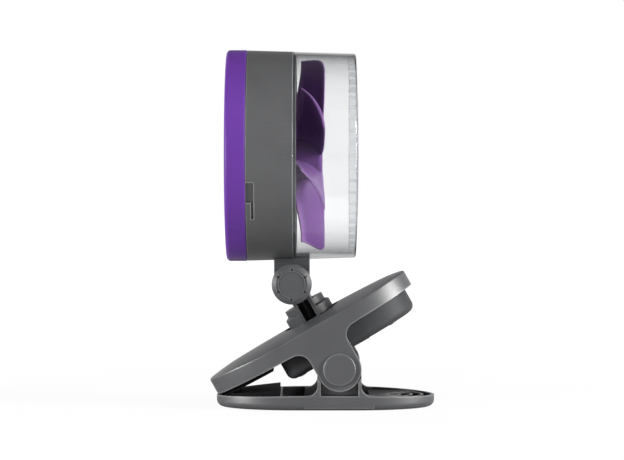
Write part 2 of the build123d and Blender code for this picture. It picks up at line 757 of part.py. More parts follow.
def make_under_cover_screws():
    """Four screws up through the under cover into the lever's posts."""
    screws = []
    for x, y in cover_screw_spots():
        seat = POD_LOW + HEAD_SINK
        head = Pos(x, y, seat) * Rot(180, 0, 0) * cross_head(SCREW_HEAD_R, SCREW_HEAD_T)
        screws.append(head + post(SCREW_R, seat, seat + SCREW_LENGTH, x, y))
    return Compound(screws)


# Swivel and arm, in the jaw frame


def make_swivel_yoke():
    """Stepped hub and channelled arm in one moulding, with a spigot and two round cheeks."""
    foot = SEAT_H + FACE_GAP
    hub = Polyline(
        (0, foot),
        (HUB_R, foot),
        (HUB_R, HUB_TOP),
        (DISC_R, HUB_STEP_TOP),
        (DISC_R, DISC_TOP),
        (0, DISC_TOP),
        close=True,
    )
    yoke = revolve(Plane.XZ * make_face(hub), Axis.Z)
    half_w = ARM_WIDTH / 2
    half_d = ARM_DEPTH / 2
    yoke += box_between((-half_w, -half_d, foot), (half_w, half_d, KNUCKLE_H))
    yoke += rod(CHEEK_R, -half_d, half_d, 0, KNUCKLE_H)
    yoke -= rod(CHEEK_R + SADDLE_GAP, -CHEEK_IN, CHEEK_IN, 0, KNUCKLE_H)
    channel_half = half_w - FLANGE_W
    channel_top = KNUCKLE_H - CHEEK_R - SADDLE_GAP
    channel = box_between(
        (-channel_half, WEB_T / 2, foot + CHANNEL_FLOOR), (channel_half, half_d, channel_top)
    )
    yoke -= both_sides(channel)
    rib = box_between((-ARM_RIB_T / 2, 0, ARM_RIB_LOW), (ARM_RIB_T / 2, ARM_RIB_OUT, channel_top))
    yoke += both_sides(rib)
    yoke += post(channel_half, foot, foot + SWIVEL_SCREW_DEPTH)
    washer_top = SEAT_H - SEAT_BOSS_T - SPRING_WASHER_T - SPRING_WASHER_RISE
    yoke += post(SPIGOT_R, washer_top, foot)
    yoke -= post(SWIVEL_SCREW_R + SNUG, 0, foot + SWIVEL_SCREW_DEPTH - 1)
    yoke -= rod(BOLT_R + RUNNING, -JAW_WIDTH, JAW_WIDTH, 0, KNUCKLE_H)
    recess = Pos(0, half_d - BOLT_RECESS, KNUCKLE_H) * Rot(-90, 0, 0) * extrude(
        RegularPolygon(BOLT_HEAD_AF / 2 + SEAT_GAP, 6, major_radius=False), BOLT_RECESS
    )
    return yoke - recess


def make_swivel_spring_washer():
    """Dished spring washer that loads the swivel from under the lever."""
    top = SEAT_H - SEAT_BOSS_T - SEAT_GAP
    inner = SPIGOT_R + PART_GAP
    rise = SPRING_WASHER_RISE - 2 * SEAT_GAP
    profile = Polyline(
        (SPRING_WASHER_R, top - SPRING_WASHER_T),
        (SPRING_WASHER_R, top),
        (inner, top - rise),
        (inner, top - rise - SPRING_WASHER_T),
        close=True,
    )
    return revolve(Plane.XZ * make_face(profile), Axis.Z)


def make_swivel_washer():
    """Steel washer that holds the yoke in the lever."""
    top = SEAT_H - SEAT_BOSS_T - SPRING_WASHER_T - SPRING_WASHER_RISE
    low = top - SWIVEL_WASHER_T
    return post(SWIVEL_WASHER_R, low, top) - post(SWIVEL_SCREW_R + SNUG, low, top)


def make_swivel_screw():
    """Screw up through the washer into the yoke's boss."""
    seat = SEAT_H - SEAT_BOSS_T - SPRING_WASHER_T - SPRING_WASHER_RISE - SWIVEL_WASHER_T
    head = Pos(0, 0, seat) * Rot(180, 0, 0) * cross_head(SWIVEL_HEAD_R, SWIVEL_HEAD_T)
    return head + post(SWIVEL_SCREW_R, seat, SEAT_H + FACE_GAP + SWIVEL_SCREW_DEPTH - 2)


def make_tilt_bolt():
    """Hex bolt from the far cheek to the knob."""
    far = ARM_DEPTH / 2 - BOLT_RECESS
    near = -(ARM_DEPTH / 2 + FACE_GAP + INSERT_T)
    head = Pos(0, far, KNUCKLE_H) * Rot(-90, 0, 0) * extrude(
        RegularPolygon(BOLT_HEAD_AF / 2, 6, major_radius=False), BOLT_HEAD_T
    )
    return head + rod(BOLT_R, near, far, 0, KNUCKLE_H)


def make_tilt_knob():
    """Round knob with a bevelled, notched rim and a raised ring on its face."""
    back = ARM_DEPTH / 2 + FACE_GAP
    face = back + KNOB_T
    outline = Polyline(
        (0, back),
        (KNOB_R - 0.8, back),
        (KNOB_R, back + 0.8),
        (KNOB_R, face - KNOB_BEVEL_T),
        (KNOB_R - KNOB_BEVEL, face),
        (0, face),
        close=True,
    )
    knob = revolve(Plane.XZ * make_face(outline), Axis.Z)
    knob += post(KNOB_RING_R + KNOB_RING_W / 2, face, face + KNOB_RING_T)
    knob -= post(KNOB_RING_R - KNOB_RING_W / 2, face, face + KNOB_RING_T)
    notch = Pos(KNOB_R, 0, face) * Rot(0, 90, 0) * Cylinder(KNOB_NOTCH_R, 3 * KNOB_BEVEL)
    for i in range(KNOB_NOTCHES):
        knob -= Rot(0, 0, 360.0 * i / KNOB_NOTCHES) * notch
    knob -= post(INSERT_R + SNUG, back, back + INSERT_T)
    return Pos(0, 0, KNUCKLE_H) * Rot(90, 0, 0) * knob


def make_knob_insert():
    """Threaded brass bush moulded into the knob."""
    near = -(ARM_DEPTH / 2 + FACE_GAP + INSERT_T)
    far = -(ARM_DEPTH / 2 + FACE_GAP)
    return rod(INSERT_R, near, far, 0, KNUCKLE_H) - rod(BOLT_R + RUNNING, near, far, 0, KNUCKLE_H)


# Head, in the head frame


def make_neck_bracket():
    """Block from under the drum down to the round tilt tongue."""
    half_w = NECK_WIDTH / 2
    x = -NECK_BEHIND_SEAM
    neck = box_between(
        (x - half_w, -TONGUE_HALF, -HEAD_RISE), (x + half_w, TONGUE_HALF, -HOUSING_R_SEAM + 3)
    )
    neck = fillet(neck.edges().filter_by(Axis.Z), NECK_EDGE_R)
    neck += rod(half_w, -TONGUE_HALF, TONGUE_HALF, x, -HEAD_RISE)
    slope = (HOUSING_R_BACK - HOUSING_R_SEAM) / HOUSING_LENGTH
    gap = SEAT_GAP / 2
    neck -= turned(
        (
            (-HOUSING_LENGTH, 0),
            (-HOUSING_LENGTH, HOUSING_R_BACK + gap),
            (HOUSING_LENGTH, HOUSING_R_SEAM - slope * HOUSING_LENGTH + gap),
            (HOUSING_LENGTH, 0),
        )
    )
    for sx, sy in NECK_SCREWS:
        neck -= post(SCREW_R + SNUG, -HOUSING_R_SEAM - 9, -HOUSING_R_SEAM + 3, sx, sy)
    return neck - rod(BOLT_R + RUNNING, -TONGUE_HALF, TONGUE_HALF, x, -HEAD_RISE)


def make_neck_screws():
    """Two screws down through the drum into the neck."""
    screws = []
    for x, y in NECK_SCREWS:
        seat = -sqrt((HOUSING_R_SEAM - HOUSING_WALL) ** 2 - (abs(y) + SCREW_HEAD_R) ** 2) + SEAT_GAP
        head = Pos(x, y, seat) * cross_head(SCREW_HEAD_R, SCREW_HEAD_T)
        screws.append(head + post(SCREW_R, -HOUSING_R_SEAM - 8, seat, x, y))
    return Compound(screws)


def make_friction_washers():
    """Fibre washers either side of the tilt tongue."""
    y = CHEEK_IN - FACE_GAP / 2
    washer = rod(FRICTION_R, y - FRICTION_T, y, -NECK_BEHIND_SEAM, -HEAD_RISE)
    washer -= rod(BOLT_R + RUNNING, y - FRICTION_T, y, -NECK_BEHIND_SEAM, -HEAD_RISE)
    return both_sides(washer)


def lug_half_angle():
    """Half the angle that one bayonet lug spans."""
    return degrees(asin(LUG_WIDTH / 2 / SPIGOT_OUT))


def bayonet_slots():
    """Slots in the housing's rear spigot that take the cover's lugs."""
    slots = []
    half = lug_half_angle() + degrees(PART_GAP / SPIGOT_OUT)
    low = SPIGOT_OUT - 2 * HOUSING_WALL
    front = LUG_FRONT + PART_GAP
    back = LUG_FRONT - LUG_LENGTH - PART_GAP
    for angle in LUG_ANGLES:
        turned_off = angle - COVER_TWIST
        slots.append(ring_sector(back, front, low, COVER_R, turned_off - half, angle + half))
        slots.append(ring_sector(SPIGOT_END - 1, front, low, COVER_R, turned_off - half, turned_off + half))
    return slots


def make_housing():
    """Tapered drum with a bulkhead, a front lip, a rear bayonet spigot and contact walls."""
    back = -HOUSING_LENGTH
    lip_r = HOUSING_R_SEAM - GRILLE_WALL - SEAT_GAP
    spigot_in = SPIGOT_OUT - HOUSING_WALL
    housing = turned(
        (
            (SPIGOT_END, spigot_in),
            (SPIGOT_END, SPIGOT_OUT),
            (back, SPIGOT_OUT),
            (back, HOUSING_R_BACK - EDGE_BREAK),
            (back + EDGE_BREAK, HOUSING_R_BACK),
            (0, HOUSING_R_SEAM),
            (0, lip_r),
            (LIP_LENGTH, lip_r),
            (LIP_LENGTH, lip_r - LIP_T),
            (BULKHEAD_FRONT, lip_r - LIP_T),
            (BULKHEAD_FRONT, 0),
            (BULKHEAD_BACK, 0),
            (BULKHEAD_BACK, HOUSING_R_SEAM - HOUSING_WALL),
            (back + 2 * HOUSING_WALL, HOUSING_R_SEAM - HOUSING_WALL),
            (back + HOUSING_WALL, spigot_in),
        )
    )
    housing += axle(MOTOR_R + SEAT_GAP + SLEEVE_T, BULKHEAD_BACK - SLEEVE_LENGTH, BULKHEAD_BACK)
    for end in cell_ends():
        for y in (-CELL_Y, CELL_Y):
            wall_z = end * (CELL_LENGTH / 2 + CELL_NUB_T + SPRING_SPACE + CONTACT_T + CONTACT_WALL_T / 2)
            housing += box_between(
                (CONTACT_WALL_BACK + 6, y - CONTACT_WALL_W / 2, wall_z - CONTACT_WALL_T / 2),
                (BULKHEAD_BACK, y + CONTACT_WALL_W / 2, wall_z + CONTACT_WALL_T / 2),
            )
    pad = box_between(
        (SWITCH_X - SWITCH_POCKET_X / 2 - 2, SWITCH_FACE - SWITCH_PAD_T, -SWITCH_POCKET_Z / 2 - 2),
        (SWITCH_X + SWITCH_POCKET_X / 2 + 2, SWITCH_FACE, SWITCH_POCKET_Z / 2 + 2),
    )
    housing += pad & axle(HOUSING_R_SEAM - 1, back, 0)
    housing -= axle(MOTOR_R + SEAT_GAP, BULKHEAD_BACK - SLEEVE_LENGTH, BULKHEAD_BACK)
    housing -= axle(MOTOR_BOSS_R + SEAT_GAP, BULKHEAD_BACK, BULKHEAD_FRONT)
    housing -= switch_pocket()
    for slot in bayonet_slots() + click_window():
        housing -= slot
    for x, y in NECK_SCREWS:
        housing -= post(SCREW_R + SEAT_GAP, -HOUSING_R_BACK, -HOUSING_R_SEAM + 8, x, y)
    for y in (-MOTOR_SCREW_OFF, MOTOR_SCREW_OFF):
        housing -= Pos(0, y, 0) * axle(MOTOR_SCREW_R + SEAT_GAP, BULKHEAD_BACK, BULKHEAD_FRONT)
    return housing


def cell_ends():
    """The two ends of a cell, below and above."""
    return (-1, 1)


def click_window():
    """Shallow window and slot that leave a click tongue, on the near side."""
    back = -HOUSING_LENGTH
    front = back + WINDOW_LENGTH
    low = HOUSING_R_BACK - WINDOW_DEPTH
    high = COVER_R + 1
    window = ring_sector(back - 1, front, low, high, 180 + WINDOW_FROM, 180 + WINDOW_TO)
    slot = ring_sector(front - SLOT_LENGTH, front, low, high, 180 + WINDOW_TO - 1, 180 + SLOT_TO)
    return [window, slot]


def switch_pocket():
    """Flat pocket and slot of the slide switch."""
    pocket = box_between(
        (SWITCH_X - SWITCH_POCKET_X / 2, SWITCH_FACE, -SWITCH_POCKET_Z / 2),
        (SWITCH_X + SWITCH_POCKET_X / 2, COVER_R + 5, SWITCH_POCKET_Z / 2),
    )
    half_z = STEM_Z / 2 + SWITCH_TRAVEL / 2 + PART_GAP
    slot = box_between(
        (SWITCH_X - STEM_X / 2 - PART_GAP, SWITCH_FACE - 3 * SWITCH_PAD_T, -half_z),
        (SWITCH_X + STEM_X / 2 + PART_GAP, SWITCH_FACE + 1, half_z),
    )
    return pocket + slot


def make_switch_slider():
    """Ribbed slider of the three-position switch, at off."""
    z = -SWITCH_TRAVEL / 2
    y = SWITCH_FACE + FACE_GAP
    slider = Pos(SWITCH_X, y + SLIDER_T / 2, z) * Box(SLIDER_X, SLIDER_T, SLIDER_Z)
    slider = fillet(slider.edges().filter_by(Axis.Y), 1.0)
    slider += Pos(SWITCH_X, y - STEM_T / 2, z) * Box(STEM_X, STEM_T, STEM_Z)
    for i in range(GRIP_RIBS):
        rib_z = z + (i - (GRIP_RIBS - 1) / 2) * 2 * GRIP_RIB_T
        rib = Box(SLIDER_X - 2, GRIP_RIB_T, GRIP_RIB_T)
        slider += Pos(SWITCH_X, y + SLIDER_T + GRIP_RIB_T / 2, rib_z) * rib
    return slider


def make_switch_body():
    """Switch block behind the housing's wall, slotted for the slider's stem."""
    top = SWITCH_FACE - SWITCH_PAD_T - SEAT_GAP
    body = box_between(
        (SWITCH_X - SWITCH_BODY_X / 2, top - SWITCH_BODY_T, -SWITCH_BODY_Z / 2),
        (SWITCH_X + SWITCH_BODY_X / 2, top, SWITCH_BODY_Z / 2),
    )
    half_z = STEM_Z / 2 + SWITCH_TRAVEL / 2 + PART_GAP
    return body - box_between(
        (SWITCH_X - STEM_X / 2 - PART_GAP, top - 3, -half_z), (SWITCH_X + STEM_X / 2 + PART_GAP, top, half_z)
    )


def make_rear_cover():
    """Round cap over the batteries, slightly domed, with three bayonet lugs inside."""
    front = -HOUSING_LENGTH - SEAT_GAP
    back = front - COVER_LENGTH
    inner_r = COVER_R - COVER_WALL
    rim = back + COVER_DOME
    outline = [
        dome_arc(back, rim, COVER_R - COVER_CORNER_R),
        ThreePointArc(
            (rim, COVER_R - COVER_CORNER_R),
            (rim + COVER_CORNER_R * (1 - cos(pi / 4)), COVER_R - COVER_CORNER_R * (1 - sin(pi / 4))),
            (rim + COVER_CORNER_R, COVER_R),
        ),
        Polyline(
            (rim + COVER_CORNER_R, COVER_R),
            (front - EDGE_BREAK, COVER_R),
            (front, COVER_R - EDGE_BREAK),
            (front, inner_r),
            (rim + COVER_WALL, inner_r),
            (back + COVER_WALL, 0),
            (back, 0),
        ),
    ]
    cover = revolve(Plane.XZ * make_face(outline), Axis.X)
    half = lug_half_angle()
    low = SPIGOT_OUT - HOUSING_WALL + PART_GAP
    high = inner_r + COVER_WALL / 2
    for angle in LUG_ANGLES:
        cover += ring_sector(LUG_FRONT - LUG_LENGTH, LUG_FRONT, low, high, angle - half, angle + half)
    return cover


def lattice_cell(r_low, r_high, step, swirl):
    """One gap of the finger guard between two rings and two ribs, in Y and Z."""
    corners = []
    for r, side, turn in ((r_low, 1, 0), (r_high, 1, swirl), (r_high, -1, step + swirl), (r_low, -1, step)):
        angle = radians(turn) + side * RIB_T / 2 / r
        corners.append((r, angle))
    points = [(r * cos(a), r * sin(a)) for r, a in corners]
    outer_mid = (corners[1][1] + corners[2][1]) / 2
    inner_mid = (corners[3][1] + corners[0][1]) / 2
    outline = [
        Line(points[0], points[1]),
        ThreePointArc(points[1], (r_high * cos(outer_mid), r_high * sin(outer_mid)), points[2]),
        Line(points[2], points[3]),
        ThreePointArc(points[3], (r_low * cos(inner_mid), r_low * sin(inner_mid)), points[0]),
    ]
    return make_face(outline)


def lattice_cells():
    """Every gap of the finger guard, as one flat pattern."""
    faces = []
    turn = 0.0
    for i in range(len(LATTICE_RIBS)):
        count = LATTICE_RIBS[i]
        step = 360.0 / count
        low = LATTICE_RINGS[i] + RING_T / 2
        high = LATTICE_RINGS[i + 1] - RING_T / 2
        cell = lattice_cell(low, high, step, LATTICE_SWIRL[i])
        faces += [Rot(0, 0, turn + step * k) * cell for k in range(count)]
        turn += LATTICE_SWIRL[i]
    return faces


def shroud_bore():
    """Inner radius of the shroud where the finger guard sits in it."""
    taper = (HOUSING_R_SEAM - GRILLE_R_FRONT) / GRILLE_LENGTH
    return GRILLE_R_FRONT + taper * (GRILLE_LENGTH - LATTICE_BACK) - GRILLE_WALL


def make_front_shroud():
    """Clear tapered side wall with a rounded front rim."""
    front = GRILLE_LENGTH
    corner = GRILLE_CORNER_R
    outline = [
        Polyline(
            (front, GRILLE_R_FRONT - corner),
            (front, shroud_bore()),
            (LATTICE_BACK, shroud_bore()),
            (SEAT_GAP, HOUSING_R_SEAM - GRILLE_WALL),
            (SEAT_GAP, HOUSING_R_SEAM),
            (front - corner, GRILLE_R_FRONT),
        ),
        ThreePointArc(
            (front - corner, GRILLE_R_FRONT),
            (front - corner * (1 - sin(pi / 4)), GRILLE_R_FRONT - corner * (1 - cos(pi / 4))),
            (front, GRILLE_R_FRONT - corner),
        ),
    ]
    return revolve(Plane.XZ * make_face(outline), Axis.X)


def make_finger_guard():
    """Clear domed disc of rings and ribs, set in the shroud's front."""
    edge = shroud_bore() - GUARD_GAP
    tip = GRILLE_LENGTH + GRILLE_DOME
    outline = [
        Polyline((tip, 0), (LATTICE_BACK, 0), (LATTICE_BACK, edge), (GRILLE_LENGTH, edge)),
        dome_arc(tip, GRILLE_LENGTH, edge),
    ]
    guard = revolve(Plane.XZ * make_face(outline), Axis.X)
    to_front = Plane((LATTICE_BACK - 1, 0, 0), x_dir=(0, 1, 0), z_dir=(1, 0, 0))
    gaps = [extrude(to_front * face, GRILLE_LENGTH) for face in lattice_cells()]
    return guard - gaps


def blade_plane(radius, angle):
    """Plane square to the radius at that angle, its X along the fan's axis."""
    out = Vector(0, cos(radians(angle)), sin(radians(angle)))
    return Plane(out * radius, x_dir=(1, 0, 0), z_dir=out * -1)


def blade_section(radius, x_back, x_front, sweep_angle, shift):
    """Thin cambered section of one blade."""
    half = radius * sin(radians(sweep_angle / 2))
    back = Vector(x_back, -half)
    front = Vector(x_front, half)
    chord = front - back
    across = Vector(-chord.Y, chord.X).normalized()
    middle = (back + front) * 0.5 + across * (-0.09 * chord.length)
    edge = across * (0.35 * BLADE_T)
    core = across * (0.5 * BLADE_T)
    outline = [
        ThreePointArc(back + edge, middle + core, front + edge),
        Line(front + edge, front - edge),
        ThreePointArc(front - edge, middle - core, back - edge),
        Line(back - edge, back + edge),
    ]
    return blade_plane(radius, BLADE_FIRST + shift) * make_face(outline)


def make_impeller():
    """Seven swept and twisted blades on a domed hub cup."""
    blade = loft([blade_section(*row) for row in BLADE_SECTIONS])
    envelope = turned(
        ((-2, 0), (-2, BLADE_TIP_R), (BLADE_SECTIONS[-1][2], BLADE_TIP_R), (BLADE_SECTIONS[-1][2], 0)),
        (((BLADE_SECTIONS[-1][2], BLADE_TIP_R), BLADE_CORNER_R),),
    )
    blade &= envelope
    hub = turned(
        ((HUB_CUP_BACK, 0), (HUB_CUP_BACK, HUB_CUP_R), (HUB_CUP_FRONT, HUB_CUP_R), (HUB_CUP_FRONT, 0)),
        (((HUB_CUP_FRONT, HUB_CUP_R), HUB_CUP_CORNER_R),),
    )
    impeller = hub
    for i in range(BLADES):
        impeller += blade.rotate(Axis.X, 360.0 * i / BLADES)
    impeller -= axle(HUB_CUP_R - HUB_CUP_WALL, HUB_CUP_BACK - 4, HUB_CUP_FRONT - HUB_CUP_WALL)
    impeller += axle(HUB_BOSS_R, HUB_CUP_BACK + 1, HUB_CUP_FRONT - 1)
    return impeller - axle(SHAFT_R + SNUG, -5, HUB_CUP_FRONT - HUB_CUP_WALL)


def make_motor_shaft():
    """Steel shaft from inside the motor to the hub."""
    return axle(SHAFT_R, BULKHEAD_BACK - SHAFT_BACK, HUB_CUP_FRONT - HUB_CUP_WALL - SEAT_GAP)


def make_motor_can():
    """Drawn steel can with a nose for its bearing."""
    front = BULKHEAD_BACK
    can = axle(MOTOR_R, front - MOTOR_LENGTH, front)
    can = chamfer(can.edges().sort_by(Axis.X)[-1], 0.8)
    can += axle(MOTOR_BOSS_R, front, front + MOTOR_BOSS_T)
    can -= axle(SHAFT_R + 1.0, front - SHAFT_BACK - 2, front + MOTOR_BOSS_T)
    for y in (-MOTOR_SCREW_OFF, MOTOR_SCREW_OFF):
        can -= Pos(0, y, 0) * axle(MOTOR_SCREW_R + SNUG, front - MOTOR_SCREW_DEPTH - 1, front)
    return can


def make_motor_bearing():
    """Bronze bush in the motor's nose."""
    front = BULKHEAD_BACK + MOTOR_BOSS_T
    return axle(SHAFT_R + 1.0 - SNUG, front - 4, front) - axle(SHAFT_R + RUNNING, front - 4, front)


def make_motor_end_cap():
    """Moulded end of the motor with its two terminals."""
    back = BULKHEAD_BACK - MOTOR_LENGTH
    cap = axle(MOTOR_R - 1, back - MOTOR_CAP_T, back)
    cap += axle(MOTOR_BOSS_R, back - MOTOR_CAP_T - 1, back)
    for y in (-TERMINAL_Y, TERMINAL_Y):
        cap += box_between(
            (back - MOTOR_CAP_T - 5 * TERMINAL_T, y - TERMINAL_T / 2, -2 * TERMINAL_T),
            (back, y + TERMINAL_T / 2, 2 * TERMINAL_T),
        )
    return cap


def make_motor_screws():
    """Two screws through the bulkhead into the motor's face."""
    screws = []
    for y in (-MOTOR_SCREW_OFF, MOTOR_SCREW_OFF):
        head = Pos(BULKHEAD_FRONT, y, 0) * Rot(0, 90, 0) * cross_head(MOTOR_SCREW_HEAD_R, MOTOR_SCREW_HEAD_T)
        shank = Pos(0, y, 0) * axle(MOTOR_SCREW_R, BULKHEAD_BACK - MOTOR_SCREW_DEPTH, BULKHEAD_FRONT)
        screws.append(head + shank)
    return Compound(screws)


def make_battery_cells():
    """Two D cells either side of the motor, standing opposite ways."""
    cells = []
    for y, up in ((-CELL_Y, 1), (CELL_Y, -1)):
        can = Cylinder(CELL_R, CELL_LENGTH)
        can = chamfer(can.edges().filter_by(GeomType.CIRCLE), 1.0)
        nub = post(CELL_NUB_R, CELL_LENGTH / 2, CELL_LENGTH / 2 + CELL_NUB_T)
        cells.append(Pos(CELL_X, y, 0) * Rot(90 - 90 * up, 0, 0) * (can + nub))
    return Compound(cells)


def contact_z():
    """Distance of each contact plate's inner face from the cells' middle."""
    return CELL_LENGTH / 2 + CELL_NUB_T + SPRING_SPACE


def make_contact_plates():
    """Sheet contacts on the inner faces of the contact walls."""
    plates = []
    for end in cell_ends():
        for y in (-CELL_Y, CELL_Y):
            z = end * (contact_z() + CONTACT_T / 2)
            low = (CELL_X - CONTACT_W / 2, y - CONTACT_W / 2, z - CONTACT_T / 2)
            high = (CELL_X + CONTACT_W / 2, y + CONTACT_W / 2, z + CONTACT_T / 2)
            plates.append(box_between(low, high))
    return Compound(plates)


def make_contact_springs():
    """Conical contact springs, each drawn as its hollow cone."""
    cones = []
    for y, end in ((-CELL_Y, -1), (CELL_Y, 1), (-CELL_Y, 1), (CELL_Y, -1)):
        positive = (y < 0) == (end > 0)
        length = SPRING_SPACE - SEAT_GAP if positive else SPRING_SPACE + CELL_NUB_T - SEAT_GAP
        cone = Cone(6.5, 4.0, length) - Cone(5.7, 3.2, length)
        middle = contact_z() - length / 2
        cones.append(Pos(CELL_X, y, end * middle) * Rot(90 + 90 * end, 0, 0) * cone)
    return Compound(cones)


def make_wires():
    """Wires from the contacts to the switch and the motor, and the jumper between cells."""
    wires = []
    for route in WIRE_ROUTES:
        path = FilletPolyline(*route, radius=WIRE_BEND_R)
        section = Plane(path @ 0, z_dir=path % 0) * Circle(WIRE_COVER_R)
        wires.append(sweep(section, path=path))
    return Compound(wires)


JAW_FRAME_PARTS = {
    "upper_jaw": make_upper_jaw,
    "pivot_caps": make_pivot_caps,
    "jaw_grip_pad": make_jaw_grip_pad,
    "jaw_under_cover": make_jaw_under_cover,
    "under_cover_screws": make_under_cover_screws,
    "swivel_yoke": make_swivel_yoke,
    "swivel_spring_washer": make_swivel_spring_washer,
    "swivel_washer": make_swivel_washer,
    "swivel_screw": make_swivel_screw,
    "tilt_bolt": make_tilt_bolt,
    "tilt_knob": make_tilt_knob,
    "knob_insert": make_knob_insert,
}
STAND_PARTS = {
    "base_jaw": make_base_jaw,
    "base_grip_pad": make_base_grip_pad,
    "pivot_pin": make_pivot_pin,
    "torsion_spring": make_torsion_spring,
}
HEAD_PARTS = {
    "neck_bracket": make_neck_bracket,
    "neck_screws": make_neck_screws,
    "friction_washers": make_friction_washers,
    "housing": make_housing,
    "switch_slider": make_switch_slider,
    "switch_body": make_switch_body,
    "rear_cover": make_rear_cover,
    "front_shroud": make_front_shroud,
    "finger_guard": make_finger_guard,
    "impeller": make_impeller,
    "motor_shaft": make_motor_shaft,
    "motor_can": make_motor_can,
    "motor_bearing": make_motor_bearing,
    "motor_end_cap": make_motor_end_cap,
    "motor_screws": make_motor_screws,
    "battery_cells": make_battery_cells,
    "contact_plates": make_contact_plates,
    "contact_springs": make_contact_springs,
    "wires": make_wires,
}


def main():
    """Build every piece in place and write one file for each."""
    os.makedirs("parts", exist_ok=True)
    for frame, makers in ((PIVOT, JAW_FRAME_PARTS), (Location(), STAND_PARTS), (HEAD, HEAD_PARTS)):
        for name, make in makers.items():
            export_step(frame * make(), f"parts/{name}.step")
    print("tilt axis", round(TILT_X, 3), round(TILT_Z, 3))


if __name__ == "__main__":
    main()
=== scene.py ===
"""Battery clip fan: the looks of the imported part, in its own frame and in metres."""
import logging
import math
from dataclasses import dataclass
from enum import Enum
from functools import lru_cache
from typing import Optional, Sequence

import bmesh
import bpy
from mathutils import Matrix, Vector
from mathutils.geometry import delaunay_2d_cdt


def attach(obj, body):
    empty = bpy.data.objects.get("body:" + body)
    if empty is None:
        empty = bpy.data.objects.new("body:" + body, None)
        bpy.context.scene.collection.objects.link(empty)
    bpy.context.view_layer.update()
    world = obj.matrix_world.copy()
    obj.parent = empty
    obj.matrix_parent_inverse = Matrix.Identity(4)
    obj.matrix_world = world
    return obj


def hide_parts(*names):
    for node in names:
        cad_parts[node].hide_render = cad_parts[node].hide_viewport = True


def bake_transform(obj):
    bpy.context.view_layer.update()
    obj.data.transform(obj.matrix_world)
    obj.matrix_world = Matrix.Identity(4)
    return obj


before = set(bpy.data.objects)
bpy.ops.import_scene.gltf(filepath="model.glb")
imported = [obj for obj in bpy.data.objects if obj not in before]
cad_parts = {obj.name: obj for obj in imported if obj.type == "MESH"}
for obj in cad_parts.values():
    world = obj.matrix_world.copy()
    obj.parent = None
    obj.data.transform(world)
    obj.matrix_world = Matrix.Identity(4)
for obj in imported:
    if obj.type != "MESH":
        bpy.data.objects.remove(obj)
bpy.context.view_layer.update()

MM = 0.001
log = logging.getLogger("clip_fan")

Colour = tuple[float, float, float]
Point = tuple[float, float, float]
Range = tuple[float, float]
Socket = bpy.types.NodeSocket

PIVOT = Vector((0.009, 0.0, 0.0271))
HEAD = Matrix.Translation((-0.021316, 0.0, 0.166626))


class Body(Enum):
    """The CAD bodies that pieces ride on."""

    LOWER_JAW = "lower_jaw"
    UPPER_JAW = "upper_jaw"
    ARM = "arm"
    KNOB = "knob"
    HEAD = "head"
    REAR_COVER = "rear_cover"
    IMPELLER = "impeller"
    SWITCH = "switch"


# Shader building

FLOAT, COLOUR, VECTOR = "NodeSocketFloat", "NodeSocketColor", "NodeSocketVector"
OUTPUT_KINDS = {"Colour": COLOUR, "Normal": VECTOR}
WHITE: Colour = (1.0, 1.0, 1.0)
# Painted shade: a moulding's colour goes towards this near black where its own hollows are occluded within the reach
# below
PAINTED_SHADE_COLOUR: Colour = (0.004, 0.004, 0.005)
CREVICE_REACH = 25 * MM
CREVICE_RANGE: Range = (0.85, 0.4)
# Occlusion of a flat face and of a sharp edge, the mask of the painted edge highlight
EDGE_RANGE: Range = (0.93, 0.62)
SAMPLES = 6
MIDDLE: Range = (0.3, 0.7)
SLOW_SCALE = 55.0
HAIR_TURN: Point = (0.4, 0.7, 0.3)
HAIR_SCALE: Point = (90.0, 1400.0, 900.0)
HAIR_RANGE: Range = (0.66, 0.74)
PATCH_RANGE: Range = (0.48, 0.62)
GRAIN_RANGE: Range = (0.35, 0.65)
# Height above the floor over which the painted edge highlight fades in
EDGE_HIGHLIGHT_FLOOR_FADE: Range = (1 * MM, 3 * MM)
STAIN_SCALE = 260.0
STAIN_RANGE: Range = (0.45, 0.7)


